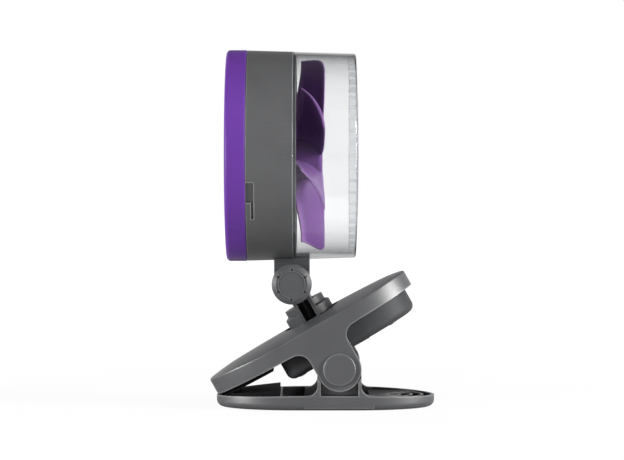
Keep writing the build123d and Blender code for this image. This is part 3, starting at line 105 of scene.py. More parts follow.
class NodeSheet:
    """Adds nodes to one tree and sets or links their inputs."""

    def __init__(self, tree: bpy.types.NodeTree) -> None:
        """Take a tree and empty it."""
        self.tree = tree
        tree.nodes.clear()

    def add(self, kind: str, inputs: Optional[dict] = None, **settings: object) -> bpy.types.Node:
        """Add one node.

        Args:
            kind: the node's type name.
            inputs: values or sockets by input name or index.
            settings: the node's own properties.

        Returns:
            The new node.
        """
        node = self.tree.nodes.new(kind)
        for name, value in settings.items():
            setattr(node, name, value)
        for name, value in (inputs or {}).items():
            self.feed(node.inputs[name], value)
        return node

    def feed(self, socket: Socket, value: object) -> None:
        """Link a socket to the input, or set the input's own value."""
        if isinstance(value, Socket):
            self.tree.links.new(value, socket)
        elif isinstance(value, tuple) and len(value) == 3 and socket.type == "RGBA":
            socket.default_value = (*value, 1.0)
        else:
            socket.default_value = value

    def maths(self, operation: str, a: object, b: object = 0.0, clamp: bool = False) -> Socket:
        """One Math node's result."""
        return self.add("ShaderNodeMath", {0: a, 1: b}, operation=operation, use_clamp=clamp).outputs[0]

    def times(self, a: object, b: object) -> Socket:
        """Product of two values."""
        return self.maths("MULTIPLY", a, b)

    def plus(self, a: object, b: object, clamp: bool = False) -> Socket:
        """Sum of two values."""
        return self.maths("ADD", a, b, clamp)

    def larger(self, a: object, b: object) -> Socket:
        """The larger of two values."""
        return self.maths("MAXIMUM", a, b)

    def blend(self, factor: object, a: object, b: object) -> Socket:
        """Colour a where the factor is 0 and b where it is 1."""
        return self.add("ShaderNodeMix", {0: factor, 6: a, 7: b}, data_type="RGBA").outputs[2]

    def spread(self, value: object, low: float, high: float, to: Range = (0.0, 1.0)) -> Socket:
        """Map a value from one range to another, clamped."""
        ends = {"Value": value, "From Min": low, "From Max": high, "To Min": to[0], "To Max": to[1]}
        return self.add("ShaderNodeMapRange", ends).outputs[0]

    def noise(self, place: Socket, scale: object, detail: float, roughness: float = 0.5) -> Socket:
        """Noise of a given scale."""
        look = {"Vector": place, "Scale": scale, "Detail": detail, "Roughness": roughness}
        return self.add("ShaderNodeTexNoise", look).outputs[0]

    def occlusion(self, reach: object, inside: bool) -> Socket:
        """How open the piece is to its outside, or how thick it is inside, within a distance."""
        look = {"inside": inside, "only_local": True, "samples": SAMPLES}
        return self.add("ShaderNodeAmbientOcclusion", {"Distance": reach}, **look).outputs["AO"]

    def relief(self, height: Socket, strength: float, depth: object, radius: object, samples: int) -> Socket:
        """Normal of a fine relief on softly rounded edges.

        Args:
            height: the relief, from 0 to 1.
            strength: its share.
            depth: its depth in metres.
            radius: the edges' radius in metres.
            samples: samples of the edges.

        Returns:
            The normal.
        """
        soft = self.add("ShaderNodeBevel", {"Radius": radius}, samples=samples).outputs[0]
        look = {"Strength": strength, "Distance": depth, "Height": height, "Normal": soft}
        return self.add("ShaderNodeBump", look).outputs[0]

    def principled(self, colour: Socket, rough: Socket, normal: Socket, plain: dict) -> bpy.types.Node:
        """Principled shader with its changing inputs linked and its plain ones set."""
        inputs = {"Base Color": colour, "Roughness": rough, "Normal": normal, **plain}
        return self.add("ShaderNodeBsdfPrincipled", inputs)

    def coated(self, skin: bpy.types.NodeOutputs, plain: dict) -> bpy.types.Node:
        """Principled shader under an effect group's results."""
        return self.principled(skin["Colour"], skin["Roughness"], skin["Normal"], plain)

    def mix(self, factor: Socket, a: bpy.types.Node, b: bpy.types.Node) -> bpy.types.Node:
        """Shader a where the factor is 0 and b where it is 1."""
        return self.add("ShaderNodeMixShader", {0: factor, 1: a.outputs[0], 2: b.outputs[0]})

    def show(self, shader: bpy.types.Node, kind: str = "Material") -> None:
        """End a material's or the world's tree in a shader."""
        self.add("ShaderNodeOutput" + kind, {"Surface": shader.outputs[0]})


class EffectGroup(NodeSheet):
    """A shader node group that several finishes share."""

    def __init__(self, name: str, inputs: dict) -> None:
        """Make the group and its inputs.

        Args:
            name: the group's name.
            inputs: default value by name, beside the coordinates. Four numbers are a colour, three a vector.
        """
        super().__init__(bpy.data.node_groups.new(name, "ShaderNodeTree"))
        self.titles = list(inputs)
        self.tree.interface.new_socket("Vector", in_out="INPUT", socket_type=VECTOR)
        for title, value in inputs.items():
            kind = FLOAT if isinstance(value, float) else COLOUR if len(value) == 4 else VECTOR
            self.tree.interface.new_socket(title, in_out="INPUT", socket_type=kind).default_value = value
        self.ins = self.tree.nodes.new("NodeGroupInput").outputs

    def close(self, **results: Socket) -> "EffectGroup":
        """Make the outputs and link the results to them."""
        for title in results:
            kind = OUTPUT_KINDS.get(title, FLOAT)
            self.tree.interface.new_socket(title, in_out="OUTPUT", socket_type=kind)
        self.add("NodeGroupOutput", results)
        return self

    def put(self, sheet: NodeSheet, place: Socket, finish: object) -> bpy.types.NodeOutputs:
        """Place the group in a material.

        Args:
            sheet: the material's sheet.
            place: the coordinates.
            finish: what has a field for each of the group's inputs.

        Returns:
            The group node's outputs.
        """
        values = {title: getattr(finish, title.lower().replace(" ", "_")) for title in self.titles}
        return sheet.add("ShaderNodeGroup", {"Vector": place, **values}, node_tree=self.tree).outputs


def moulded_group() -> EffectGroup:
    """Fine spark grain, slow mottling, light scuffs and softly rounded edges of a moulding, with a painted highlight
    along its convex edges and painted shade in its own hollows.
    """
    sheet = EffectGroup(
        "moulded_surface",
        {
            "Colour": (0.1, 0.1, 0.1, 1.0),
            "Edge Colour": (0.2, 0.2, 0.2, 1.0),
            "Edge Lift": 0.6,
            "Edge Radius": 0.3 * MM,
            "Edge Width": 0.9 * MM,
            "Crevice": 0.4,
            "Grain Size": 0.5 * MM,
            "Grain Depth": 0.02 * MM,
            "Roughness": 0.4,
            "Mottle": 0.1,
            "Scuffs": 0.3,
        },
    )
    ins = sheet.ins
    place = ins["Vector"]
    grain = sheet.noise(place, sheet.maths("DIVIDE", 1.0, ins["Grain Size"]), 3.0, 0.6)
    slow = sheet.noise(place, SLOW_SCALE, 3.0)
    stretch = {"Vector": place, "Rotation": HAIR_TURN, "Scale": HAIR_SCALE}
    hair = sheet.noise(sheet.add("ShaderNodeMapping", stretch).outputs[0], 1.0, 1.0)
    scuff = sheet.times(sheet.spread(hair, *HAIR_RANGE), sheet.spread(slow, *PATCH_RANGE))
    scuff = sheet.times(scuff, ins["Scuffs"])
    edge = sheet.spread(sheet.occlusion(ins["Edge Width"], True), *EDGE_RANGE)
    # Painted shade in the piece's own hollows, creases and recesses
    painted_shade = sheet.spread(sheet.occlusion(CREVICE_REACH, False), *CREVICE_RANGE)
    above_floor = sheet.add("ShaderNodeSeparateXYZ", {0: place}).outputs[2]
    # Painted highlight along convex edges, left patchy like wear and faded out near the floor
    edge_highlight_and_wear = sheet.times(edge, sheet.spread(above_floor, *EDGE_HIGHLIGHT_FLOOR_FADE))
    edge_highlight_and_wear = sheet.times(edge_highlight_and_wear, sheet.spread(slow, 0.3, 0.6, (0.55, 1.0)))
    tone = sheet.times(sheet.spread(slow, *MIDDLE, (-1.0, 1.0)), ins["Mottle"])
    shade = sheet.add("ShaderNodeHueSaturation", {"Color": ins["Colour"], "Value": sheet.plus(tone, 1.0)})
    colour = sheet.blend(sheet.times(edge_highlight_and_wear, ins["Edge Lift"]), shade.outputs[0], ins["Edge Colour"])
    colour = sheet.blend(sheet.times(painted_shade, ins["Crevice"]), colour, PAINTED_SHADE_COLOUR)
    rough = sheet.plus(ins["Roughness"], sheet.spread(grain, *GRAIN_RANGE, (-0.04, 0.04)))
    rough = sheet.plus(rough, sheet.times(tone, 0.4))
    rough = sheet.plus(rough, sheet.times(scuff, 0.25), clamp=True)
    height = sheet.maths("SUBTRACT", grain, sheet.times(scuff, 0.3))
    normal = sheet.relief(height, 0.35, ins["Grain Depth"], ins["Edge Radius"], SAMPLES)
    return sheet.close(Colour=colour, Roughness=rough, Normal=normal)


def drawn_group() -> EffectGroup:
    """Fine lines that drawing, turning or rolling leaves in metal."""
    sheet = EffectGroup(
        "drawn_metal",
        {
            "Stretch": WHITE,
            "Colour": (0.5, 0.5, 0.5, 1.0),
            "Dull Colour": (0.3, 0.3, 0.3, 1.0),
            "Roughness": 0.3,
            "Line Depth": 0.01 * MM,
            "Stain": 0.4,
        },
    )
    ins = sheet.ins
    run = sheet.add("ShaderNodeMapping", {"Vector": ins["Vector"], "Scale": ins["Stretch"]})
    lines = sheet.noise(run.outputs[0], 1.0, 4.0, 0.7)
    stain = sheet.times(sheet.spread(sheet.noise(ins["Vector"], STAIN_SCALE, 4.0), *STAIN_RANGE), ins["Stain"])
    dull = sheet.plus(stain, sheet.spread(lines, *MIDDLE, (0.0, 0.35)), clamp=True)
    colour = sheet.blend(dull, ins["Colour"], ins["Dull Colour"])
    rough = sheet.plus(ins["Roughness"], sheet.spread(lines, *MIDDLE, (-0.06, 0.08)))
    rough = sheet.plus(rough, sheet.times(stain, 0.2), clamp=True)
    normal = sheet.relief(lines, 0.4, ins["Line Depth"], 0.25 * MM, 4)
    return sheet.close(Colour=colour, Roughness=rough, Normal=normal)


class Effects:
    """The shared node groups, each built once."""

    moulded: EffectGroup
    drawn: EffectGroup

    @classmethod
    def build(cls) -> None:
        """Build every shared group."""
        cls.moulded = moulded_group()
        cls.drawn = drawn_group()


def new_material(name: str) -> tuple[bpy.types.Material, NodeSheet, Socket]:
    """Start a node material.

    Args:
        name: the finish's name.

    Returns:
        The material, its sheet and its object coordinates.
    """
    material = bpy.data.materials.new(name)
    material.use_nodes = True
    sheet = NodeSheet(material.node_tree)
    return material, sheet, sheet.add("ShaderNodeTexCoord").outputs["Object"]


@dataclass(frozen=True)
class Moulding:
    """Opaque moulded plastic or rubber, with a painted highlight along its convex edges and painted shade in its
    hollows.
    """

    name: str
    colour: Colour
    # edge_colour, edge_lift and edge_width set the painted highlight along convex edges
    edge_colour: Colour
    roughness: float = 0.4
    edge_lift: float = 0.5
    edge_radius: float = 0.3 * MM
    edge_width: float = 0.9 * MM
    # How strongly painted shade darkens the hollows
    crevice: float = 0.6
    grain_size: float = 0.5 * MM
    grain_depth: float = 0.02 * MM
    mottle: float = 0.05
    scuffs: float = 0.3
    specular: float = 0.5

    def material(self) -> bpy.types.Material:
        """Build the finish."""
        material, sheet, place = new_material(self.name)
        skin = Effects.moulded.put(sheet, place, self)
        sheet.show(sheet.coated(skin, {"Specular IOR Level": self.specular}))
        return material


@dataclass(frozen=True)
class Metal:
    """Drawn, turned or plated metal."""

    name: str
    colour: Colour
    dull_colour: Colour
    stretch: Point = (60.0, 3000.0, 3000.0)
    roughness: float = 0.28
    line_depth: float = 0.008 * MM
    stain: float = 0.35

    def material(self) -> bpy.types.Material:
        """Build the finish."""
        material, sheet, place = new_material(self.name)
        skin = Effects.drawn.put(sheet, place, self)
        sheet.show(sheet.coated(skin, {"Metallic": 1.0}))
        return material


@dataclass(frozen=True)
class ClearMoulding:
    """Polished clear plastic, faintly grey where it is seen edge on, with a painted pale glow where a ray has passed
    through too many walls.
    """

    name: str
    colour: Colour = (0.985, 0.99, 0.995)
    rim_colour: Colour = (0.34, 0.345, 0.36)
    roughness: float = 0.02
    ripple: float = 0.004 * MM
    deepest: float = 5.0
    veil: float = 0.0
    edge_veil: float = 0.45
    flow: float = 90.0
    specks: float = 2500.0
    speck_range: Range = (0.62, 0.75)
    speck_haze: float = 0.1
    rim_range: Range = (0.2, 0.95)
    edge_width: float = 1.2 * MM
    edge_range: Range = (0.93, 0.6)
    shadow: Colour = (0.93, 0.94, 0.95)
    # Colour of the painted glow that lost rays see
    painted_glow: Colour = (0.8, 0.81, 0.82)

    def material(self) -> bpy.types.Material:
        """Build the finish."""
        material, sheet, place = new_material(self.name)
        specks = sheet.noise(place, self.specks, 1.0)
        haze = sheet.spread(specks, *self.speck_range, (self.roughness, self.roughness + self.speck_haze))
        normal = sheet.relief(sheet.noise(place, self.flow, 2.0), 0.5, self.ripple, 0.4 * MM, 4)
        facing = sheet.add("ShaderNodeLayerWeight", {"Blend": 0.5}).outputs["Facing"]
        colour = sheet.blend(sheet.spread(facing, *self.rim_range), self.colour, self.rim_colour)
        solid = sheet.principled(colour, haze, normal, {"IOR": 1.49, "Transmission Weight": 1.0})
        path = sheet.add("ShaderNodeLightPath").outputs
        clear = sheet.add("ShaderNodeBsdfTransparent", {"Color": self.shadow})
        through = sheet.larger(path["Is Shadow Ray"], path["Is Diffuse Ray"])
        thin = sheet.occlusion(self.edge_width, True)
        edge = sheet.spread(thin, *self.edge_range, (self.veil, self.edge_veil))
        mixed = sheet.mix(sheet.larger(through, edge), solid, clear)
        # Painted light: past this many transmission bounces the plastic glows pale grey in place of what lies behind
        # it
        lost = sheet.maths("GREATER_THAN", path["Transmission Depth"], self.deepest)
        painted_glow = sheet.add("ShaderNodeEmission", {"Color": self.painted_glow, "Strength": 1.0})
        sheet.show(sheet.mix(lost, mixed, painted_glow))
        return material


@dataclass(frozen=True)
class CellWrap:
    """Dark foil sleeve with a copper shoulder band and bare steel ends."""

    name: str
    sleeve: Colour
    band: Colour
    steel: Colour
    sleeve_half: float = 28.6 * MM
    band_from: float = 20.0 * MM

    def material(self) -> bpy.types.Material:
        """Build the finish."""
        material, sheet, place = new_material(self.name)
        at = sheet.add("ShaderNodeSeparateXYZ", {0: place}).outputs
        height = sheet.maths("SUBTRACT", at[2], HEAD.translation.z)
        far_cell = sheet.maths("GREATER_THAN", at[1], 0.0)
        upright = sheet.maths("SUBTRACT", 1.0, sheet.times(far_cell, 2.0))
        banded = sheet.maths("GREATER_THAN", sheet.times(height, upright), self.band_from)
        bare = sheet.maths("GREATER_THAN", sheet.maths("ABSOLUTE", height), self.sleeve_half)
        dull = tuple(0.7 * part for part in self.steel)
        ends = Metal(self.name, self.steel, dull, (900.0, 900.0, 120.0), 0.22, 0.003 * MM, 0.2)
        skin = Effects.drawn.put(sheet, place, ends)
        colour = sheet.blend(bare, sheet.blend(banded, self.sleeve, self.band), skin["Colour"])
        metallic = {"Metallic": sheet.larger(bare, sheet.times(banded, 0.8))}
        sheet.show(sheet.principled(colour, skin["Roughness"], skin["Normal"], metallic))
        return material


CLIP = {"colour": (0.064, 0.065, 0.068), "edge_colour": (0.22, 0.222, 0.23), "roughness": 0.42,
        "edge_lift": 0.85, "edge_width": 1.2 * MM, "specular": 0.9}
DRUM: Colour = (0.086, 0.087, 0.089)

FINISHES = {
    finish.name: finish
    for finish in (
        Moulding("clip_plastic", crevice=0.85, **CLIP),
        # The tray's inside gets the strongest painted shade, near black
        Moulding("tray_plastic", crevice=1.9, **CLIP),
        Moulding("knob_plastic", (0.073, 0.074, 0.077), (0.2, 0.202, 0.21), 0.45, edge_lift=0.6,
                 edge_width=0.6 * MM, crevice=0.7, specular=0.3),
        # arm_plastic and the pan's finish are darker copies of the clip's grey: painted shade for the neck and arm
        # below the head and for the pod under the lever
        Moulding("arm_plastic", (0.05, 0.051, 0.053), (0.17, 0.172, 0.178), 0.45, edge_lift=0.35,
                 crevice=0.15, specular=0.35),
        Moulding("pan_plastic", (0.045, 0.046, 0.048), (0.15, 0.152, 0.158), 0.5, crevice=0.8,
                 specular=0.15),
        Moulding("housing_plastic", DRUM, (0.32, 0.322, 0.33), 0.38, edge_lift=0.9,
                 grain_depth=0.01 * MM, specular=0.35),
        Moulding("housing_lines", DRUM, (0.2, 0.202, 0.21), edge_lift=0.25, crevice=0.0),
        Moulding("cover_plastic", (0.112, 0.032, 0.265), (0.19, 0.07, 0.38), 0.46,
                 grain_depth=0.008 * MM, specular=0.2),
        Moulding("blade_plastic", (0.135, 0.052, 0.205), (0.33, 0.19, 0.42), 0.35, edge_lift=0.8,
                 edge_width=1.4 * MM, grain_depth=0.003 * MM, crevice=0.2, specular=0.1),
        ClearMoulding("clear_plastic"),
        ClearMoulding("clear_guard", rim_colour=(0.88, 0.885, 0.89), deepest=2.0, veil=0.35,
                      edge_veil=0.7, ripple=0.03 * MM, flow=600.0),
        Moulding("grip_rubber", (0.005, 0.005, 0.0055), (0.012, 0.012, 0.013), 0.8,
                 grain_size=0.8 * MM, grain_depth=0.05 * MM, mottle=0.15, specular=0.08),
        Metal("spring_steel", (0.42, 0.42, 0.43), (0.2, 0.19, 0.18), (300.0, 300.0, 300.0)),
        Metal("screw_steel", (0.6, 0.6, 0.6), (0.38, 0.38, 0.4), roughness=0.25),
        Metal("motor_steel", (0.55, 0.55, 0.54), (0.36, 0.36, 0.35), (40.0, 2500.0, 2500.0)),
        Moulding("motor_plastic", (0.6, 0.59, 0.54), (0.75, 0.74, 0.7), 0.45, edge_lift=0.3, scuffs=0.1),
        Metal("bronze", (0.5, 0.33, 0.16), (0.24, 0.15, 0.07), (900.0, 900.0, 900.0), 0.4),
        Metal("brass", (0.72, 0.52, 0.22), (0.42, 0.29, 0.12), (3000.0, 60.0, 3000.0), 0.24),
        CellWrap("cell_wrap", (0.014, 0.014, 0.016), (0.5, 0.25, 0.1), (0.6, 0.6, 0.6)),
        Metal("contact_nickel", (0.62, 0.6, 0.56), (0.4, 0.38, 0.34), (80.0, 1500.0, 80.0)),
        Moulding("switch_plastic", (0.016, 0.016, 0.018), (0.06, 0.06, 0.065)),
        Moulding("fibre", (0.2, 0.075, 0.035), (0.28, 0.12, 0.06), 0.7, grain_size=0.3 * MM,
                 grain_depth=0.04 * MM, mottle=0.25),
    )
}


def wire_cover(title: str, colour: Colour) -> Moulding:
    """Soft insulation of one colour."""
    pale = tuple(min(1.0, 1.6 * part + 0.03) for part in colour)
    return Moulding("wire_cover_" + title, colour, pale, 0.38, edge_lift=0.0, grain_depth=0.004 * MM)


@lru_cache(maxsize=None)
def painted(name: str) -> bpy.types.Material:
    """The material of a finish, made at its first use."""
    return FINISHES[name].material()


# Mesh building

# Merging distances, and the length below which an edge is dissolved, in metres
NODE_WELD, MESH_WELD, RING_WELD, SLIVER = 1e-6, 2e-6, 3e-6, 1e-7


def link_piece(name: str, data: bpy.types.ID) -> bpy.types.Object:
    """Make an object of a finished mesh, or of a lamp, camera or curve."""
    piece = bpy.data.objects.new(name, data)
    bpy.context.scene.collection.objects.link(piece)
    return piece


def finish_piece(
    piece: bpy.types.Object, body: Optional[Body], slot: str, nodes: Sequence[str] = (),
    paint: Optional[str] = None,
) -> bpy.types.Object:
    """Dress a piece and hand it to its body.

    Args:
        piece: the finished object.
        body: the CAD body that it rides on, or None for a piece left without one.
        slot: the record's material slot.
        nodes: the CAD nodes that it stands for.
        paint: another finish name, where it isn't the slot's.

    Returns:
        The piece.
    """
    if not piece.data.materials:
        piece.data.materials.append(painted(paint or slot))
    if body:
        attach(piece, body.value)
    if nodes:
        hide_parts(*nodes)
    carrier = body.value if body else "two bodies"
    log.info("%s on %s, %d faces", piece.name, carrier, len(piece.data.polygons))
    return piece


def smooth_by_angle(mesh: bpy.types.Mesh, angle: float) -> None:
    """Shade smooth, apart from edges sharper than the angle in degrees."""
    mesh.shade_smooth()
    mesh.set_sharp_from_angle(angle=math.radians(angle))


def welded(mesh: bpy.types.Mesh, near: float, outwards: bool = True) -> bpy.types.Mesh:
    """Merge a mesh's doubles and turn its faces outwards.

    Args:
        mesh: the mesh, changed in place.
        near: points nearer than this many metres are merged.
        outwards: whether the faces are turned.

    Returns:
        The same mesh.
    """
    work = bmesh.new()
    work.from_mesh(mesh)
    bmesh.ops.remove_doubles(work, verts=work.verts, dist=near)
    bmesh.ops.dissolve_degenerate(work, edges=work.edges, dist=SLIVER)
    bare = [edge for edge in work.edges if not edge.link_faces]
    bmesh.ops.delete(work, geom=bare, context="EDGES")
    if outwards:
        bmesh.ops.recalc_face_normals(work, faces=work.faces)
    work.to_mesh(mesh)
    work.free()
    return mesh


def stitched(rings: Sequence[list[int]]) -> list[list[int]]:
    """Faces between each two neighbours of a run of closed rings of corner numbers."""
    faces = []
    for low, high in zip(rings, rings[1:]):
        faces += [[low[i - 1], low[i], high[i], high[i - 1]] for i in range(len(low))]
    return faces


def mesh_from(name: str, points: Sequence, faces: Sequence[Sequence[int]]) -> bpy.types.Mesh:
    """Closed mesh in metres from points in millimetres in the head's frame.

    Args:
        name: the mesh's name.
        points: the points.
        faces: corner numbers of each face.

    Returns:
        The mesh, with doubles merged and faces outwards.
    """
    mesh = bpy.data.meshes.new(name)
    whole = [list(dict.fromkeys(face)) for face in faces]
    mesh.from_pydata([HEAD @ (Vector(p) * MM) for p in points], [], [face for face in whole if len(face) > 2])
    return welded(mesh, MESH_WELD)


def baked_mesh(piece: bpy.types.Object, name: str) -> bpy.types.Mesh:
    """Plain mesh of a piece with its modifiers applied; the piece is removed."""
    bpy.context.view_layer.update()
    graph = bpy.context.evaluated_depsgraph_get()
    mesh = bpy.data.meshes.new_from_object(piece.evaluated_get(graph))
    mesh.name = name
    bpy.data.objects.remove(piece)
    return mesh


class GeometrySheet(NodeSheet):
    """A Geometry Nodes tree with named inputs, applied once to make a mesh."""

    def __init__(self, name: str, paint: str, inputs: dict) -> None:
        """Make the tree and its sockets.

        Args:
            name: the tree's name.
            paint: the finish.
            inputs: value by name. Whole numbers are counts.
        """
        super().__init__(bpy.data.node_groups.new(name, "GeometryNodeTree"))
        socket = self.tree.interface.new_socket
        socket("Geometry", in_out="INPUT", socket_type="NodeSocketGeometry")
        self.values = {}
        for title, value in inputs.items():
            kind = "NodeSocketInt" if isinstance(value, int) else FLOAT
            self.values[socket(title, in_out="INPUT", socket_type=kind).identifier] = value
        material = socket("Material", in_out="INPUT", socket_type="NodeSocketMaterial")
        self.values[material.identifier] = painted(paint)
        socket("Geometry", in_out="OUTPUT", socket_type="NodeSocketGeometry")
        self.ins = self.tree.nodes.new("NodeGroupInput").outputs

    def make(self, name: str, source: bpy.types.Mesh, shape: Socket, weld: float = 0.0) -> bpy.types.Object:
        """End the tree in Realize Instances and Set Material, run it and keep its plain result.

        Args:
            name: the new piece's name.
            source: the mesh that the tree starts from.
            shape: what the tree has made.
            weld: points nearer than this many metres are merged.

        Returns:
            The new piece, without modifiers.
        """
        real = self.add("GeometryNodeRealizeInstances", {"Geometry": shape}).outputs[0]
        if weld:
            real = self.add("GeometryNodeMergeByDistance", {"Geometry": real, "Distance": weld}).outputs[0]
        paint = self.add("GeometryNodeSetMaterial", {"Geometry": real, "Material": self.ins["Material"]})
        self.add("NodeGroupOutput", {0: paint.outputs[0]})
        carrier = link_piece(name + "_source", source)
        modifier = carrier.modifiers.new("pattern", "NODES")
        modifier.node_group = self.tree
        for identifier, value in self.values.items():
            modifier[identifier] = value
        return link_piece(name, baked_mesh(carrier, name))


def ring_array(
    name: str, source: bpy.types.Mesh, count: int, paint: str, weld: float = 0.0
) -> bpy.types.Object:
    """Repeat a mesh evenly round the fan's axis.

    Args:
        name: the new piece's name.
        source: one part of the pattern, in its place.
        count: how many there are in the ring.
        paint: the finish.
        weld: points nearer than this many metres are merged.

    Returns:
        The whole ring as one plain mesh.
    """
    axis = {"Axis Height": HEAD.translation.z, "Axis Start": HEAD.translation.x}
    sheet = GeometrySheet(name + "_ring", paint, {"Count": count, **axis})
    add, ins = sheet.add, sheet.ins
    line = add("GeometryNodeMeshLine", {"Count": ins["Count"], "Offset": (0.0, 0.0, 0.0)}).outputs[0]
    centre = add("ShaderNodeCombineXYZ", {"X": ins["Axis Start"], "Z": ins["Axis Height"]}).outputs[0]
    back = add("ShaderNodeVectorMath", {0: centre, "Scale": -1.0}, operation="SCALE").outputs[0]
    home = add("GeometryNodeTransform", {"Geometry": ins["Geometry"], "Translation": back}).outputs[0]
    turn = sheet.times(add("GeometryNodeInputIndex").outputs[0], sheet.maths("DIVIDE", 2 * math.pi, ins["Count"]))
    angle = add("ShaderNodeCombineXYZ", {"X": turn}).outputs[0]
    spin = add("FunctionNodeEulerToRotation", {0: angle}).outputs[0]
    copies = add("GeometryNodeInstanceOnPoints", {"Points": line, "Instance": home, "Rotation": spin})
    real = add("GeometryNodeRealizeInstances", {"Geometry": copies.outputs[0]}).outputs[0]
    placed = add("GeometryNodeTransform", {"Geometry": real, "Translation": centre}).outputs[0]
    return sheet.make(name, source, placed, weld)


def swept_tube(
    name: str, runs: Sequence[Sequence[Vector]], radius: float, sides: int, paint: str,
    angle: Optional[float] = 50.0,
) -> bpy.types.Object:
    """Round wires with capped ends along runs of points.

    Args:
        name: the new piece's name.
        runs: centre lines in metres.
        radius: the wire's radius in millimetres.
        sides: faces round the wire.
        paint: the finish.
        angle: edges sharper than this many degrees are shaded sharp, or None for none.

    Returns:
        The wires as one plain mesh.
    """
    points: list[Vector] = []
    edges: list[tuple[int, int]] = []
    for run in runs:
        edges += [(i - 1, i) for i in range(len(points) + 1, len(points) + len(run))]
        points += run
    line = bpy.data.meshes.new(name + "_line")
    line.from_pydata(points, edges, [])
    sheet = GeometrySheet(name + "_wire", paint, {"Radius": radius * MM, "Sides": sides})
    curve = sheet.add("GeometryNodeMeshToCurve", {"Mesh": sheet.ins["Geometry"]}).outputs[0]
    size = {"Resolution": sheet.ins["Sides"], "Radius": sheet.ins["Radius"]}
    ring = sheet.add("GeometryNodeCurvePrimitiveCircle", size).outputs[0]
    sweep = {"Curve": curve, "Profile Curve": ring, "Fill Caps": True}
    tube = sheet.add("GeometryNodeCurveToMesh", sweep).outputs[0]
    smooth = sheet.add("GeometryNodeSetShadeSmooth", {"Geometry": tube, "Shade Smooth": True})
    piece = sheet.make(name, line, smooth.outputs[0])
    if angle is not None:
        smooth_by_angle(piece.data, angle)
    return piece


# Sub-assemblies


@dataclass(frozen=True)
class Refined:
    """A merged and smoothed copy of a CAD node. Edges flatter than the angle are shaded smooth."""

    body: Body
    node: str
    slot: str
    paint: Optional[str] = None
    angle: float = 28.0

    def build(self) -> bpy.types.Object:
        """Make and dress the copy."""
        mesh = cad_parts[self.node].data.copy()
        mesh.name = self.node + "_finished"
        mesh.materials.clear()
        if "custom_normal" in mesh.attributes:
            mesh.attributes.remove(mesh.attributes["custom_normal"])
        smooth_by_angle(welded(mesh, NODE_WELD, outwards=False), self.angle)
        return finish_piece(link_piece(mesh.name, mesh), self.body, self.slot, [self.node], self.paint)


def on(body: Body, *rows: Sequence) -> tuple[Refined, ...]:
    """CAD nodes of one body: node, slot, and where needed another finish and the angle."""
    return tuple(Refined(body, *row) for row in rows)


@dataclass
class SubAssembly:
    """Pieces that are built together: refined CAD nodes first, then shapes of its own."""

    title: str
    nodes: tuple[Refined, ...]

    def shapes(self) -> None:
        """Build what the CAD nodes don't give."""

    def build(self) -> None:
        """Build and dress the sub-assembly."""
        log.info("building the %s", self.title)
        for node in self.nodes:
            node.build()
        self.shapes()


@dataclass
class Stand(SubAssembly):
    """Lower jaw, its grip pad, the pivot pin and the clip's torsion spring. Sizes in millimetres."""

    title: str = "stand"
    nodes: tuple[Refined, ...] = on(
        Body.LOWER_JAW,
        ("base_jaw", "clip_plastic", "tray_plastic"),
        ("base_grip_pad", "grip_rubber"),
        ("pivot_pin", "screw_steel"),
    )
    wire_radius: float = 1.1
    wire_sides: int = 14
    coil_radius: float = 6.8
    turns: float = 4.0
    pitch: float = 2.75
    upper_leg: float = 25.0
    lower_leg: float = 31.69
    lower_drop: float = 35.0
    lever_angle: float = 29.6
    steps_a_turn: int = 40
    leg_parts: tuple[float, ...] = (0.33, 0.66, 1.0)
    blend_slack: float = 1.05

    def spring_line(self) -> list[Vector]:
        """Centre line of the spring's wire, leg to leg, in metres."""
        first = 90.0 + self.lever_angle
        sweep = 360.0 * self.turns + 270.0 - self.lower_drop - first
        width = self.pitch * sweep / 360.0
        count = int(self.steps_a_turn * sweep / 360.0)
        coil = []
        for i in range(count + 1):
            angle = math.radians(first + sweep * i / count)
            x, z = math.cos(angle) * self.coil_radius, math.sin(angle) * self.coil_radius
            coil.append(PIVOT + Vector((x, width * (i / count - 0.5), z)) * MM)
        start = (coil[0] - coil[1]).normalized()
        end = (coil[-1] - coil[-2]).normalized()
        start_leg = [coil[0] + start * (self.upper_leg * MM * part) for part in reversed(self.leg_parts)]
        return start_leg + coil + [coil[-1] + end * (self.lower_leg * MM * part) for part in self.leg_parts]

    def shapes(self) -> None:
        """Build the spring, whose coil winds between the two jaws."""
        line = self.spring_line()
        wire = swept_tube("clip_torsion_spring", [line], self.wire_radius, self.wire_sides, "spring_steel")
        finish_piece(wire, None, "spring_steel", ["torsion_spring"])
        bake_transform(wire)


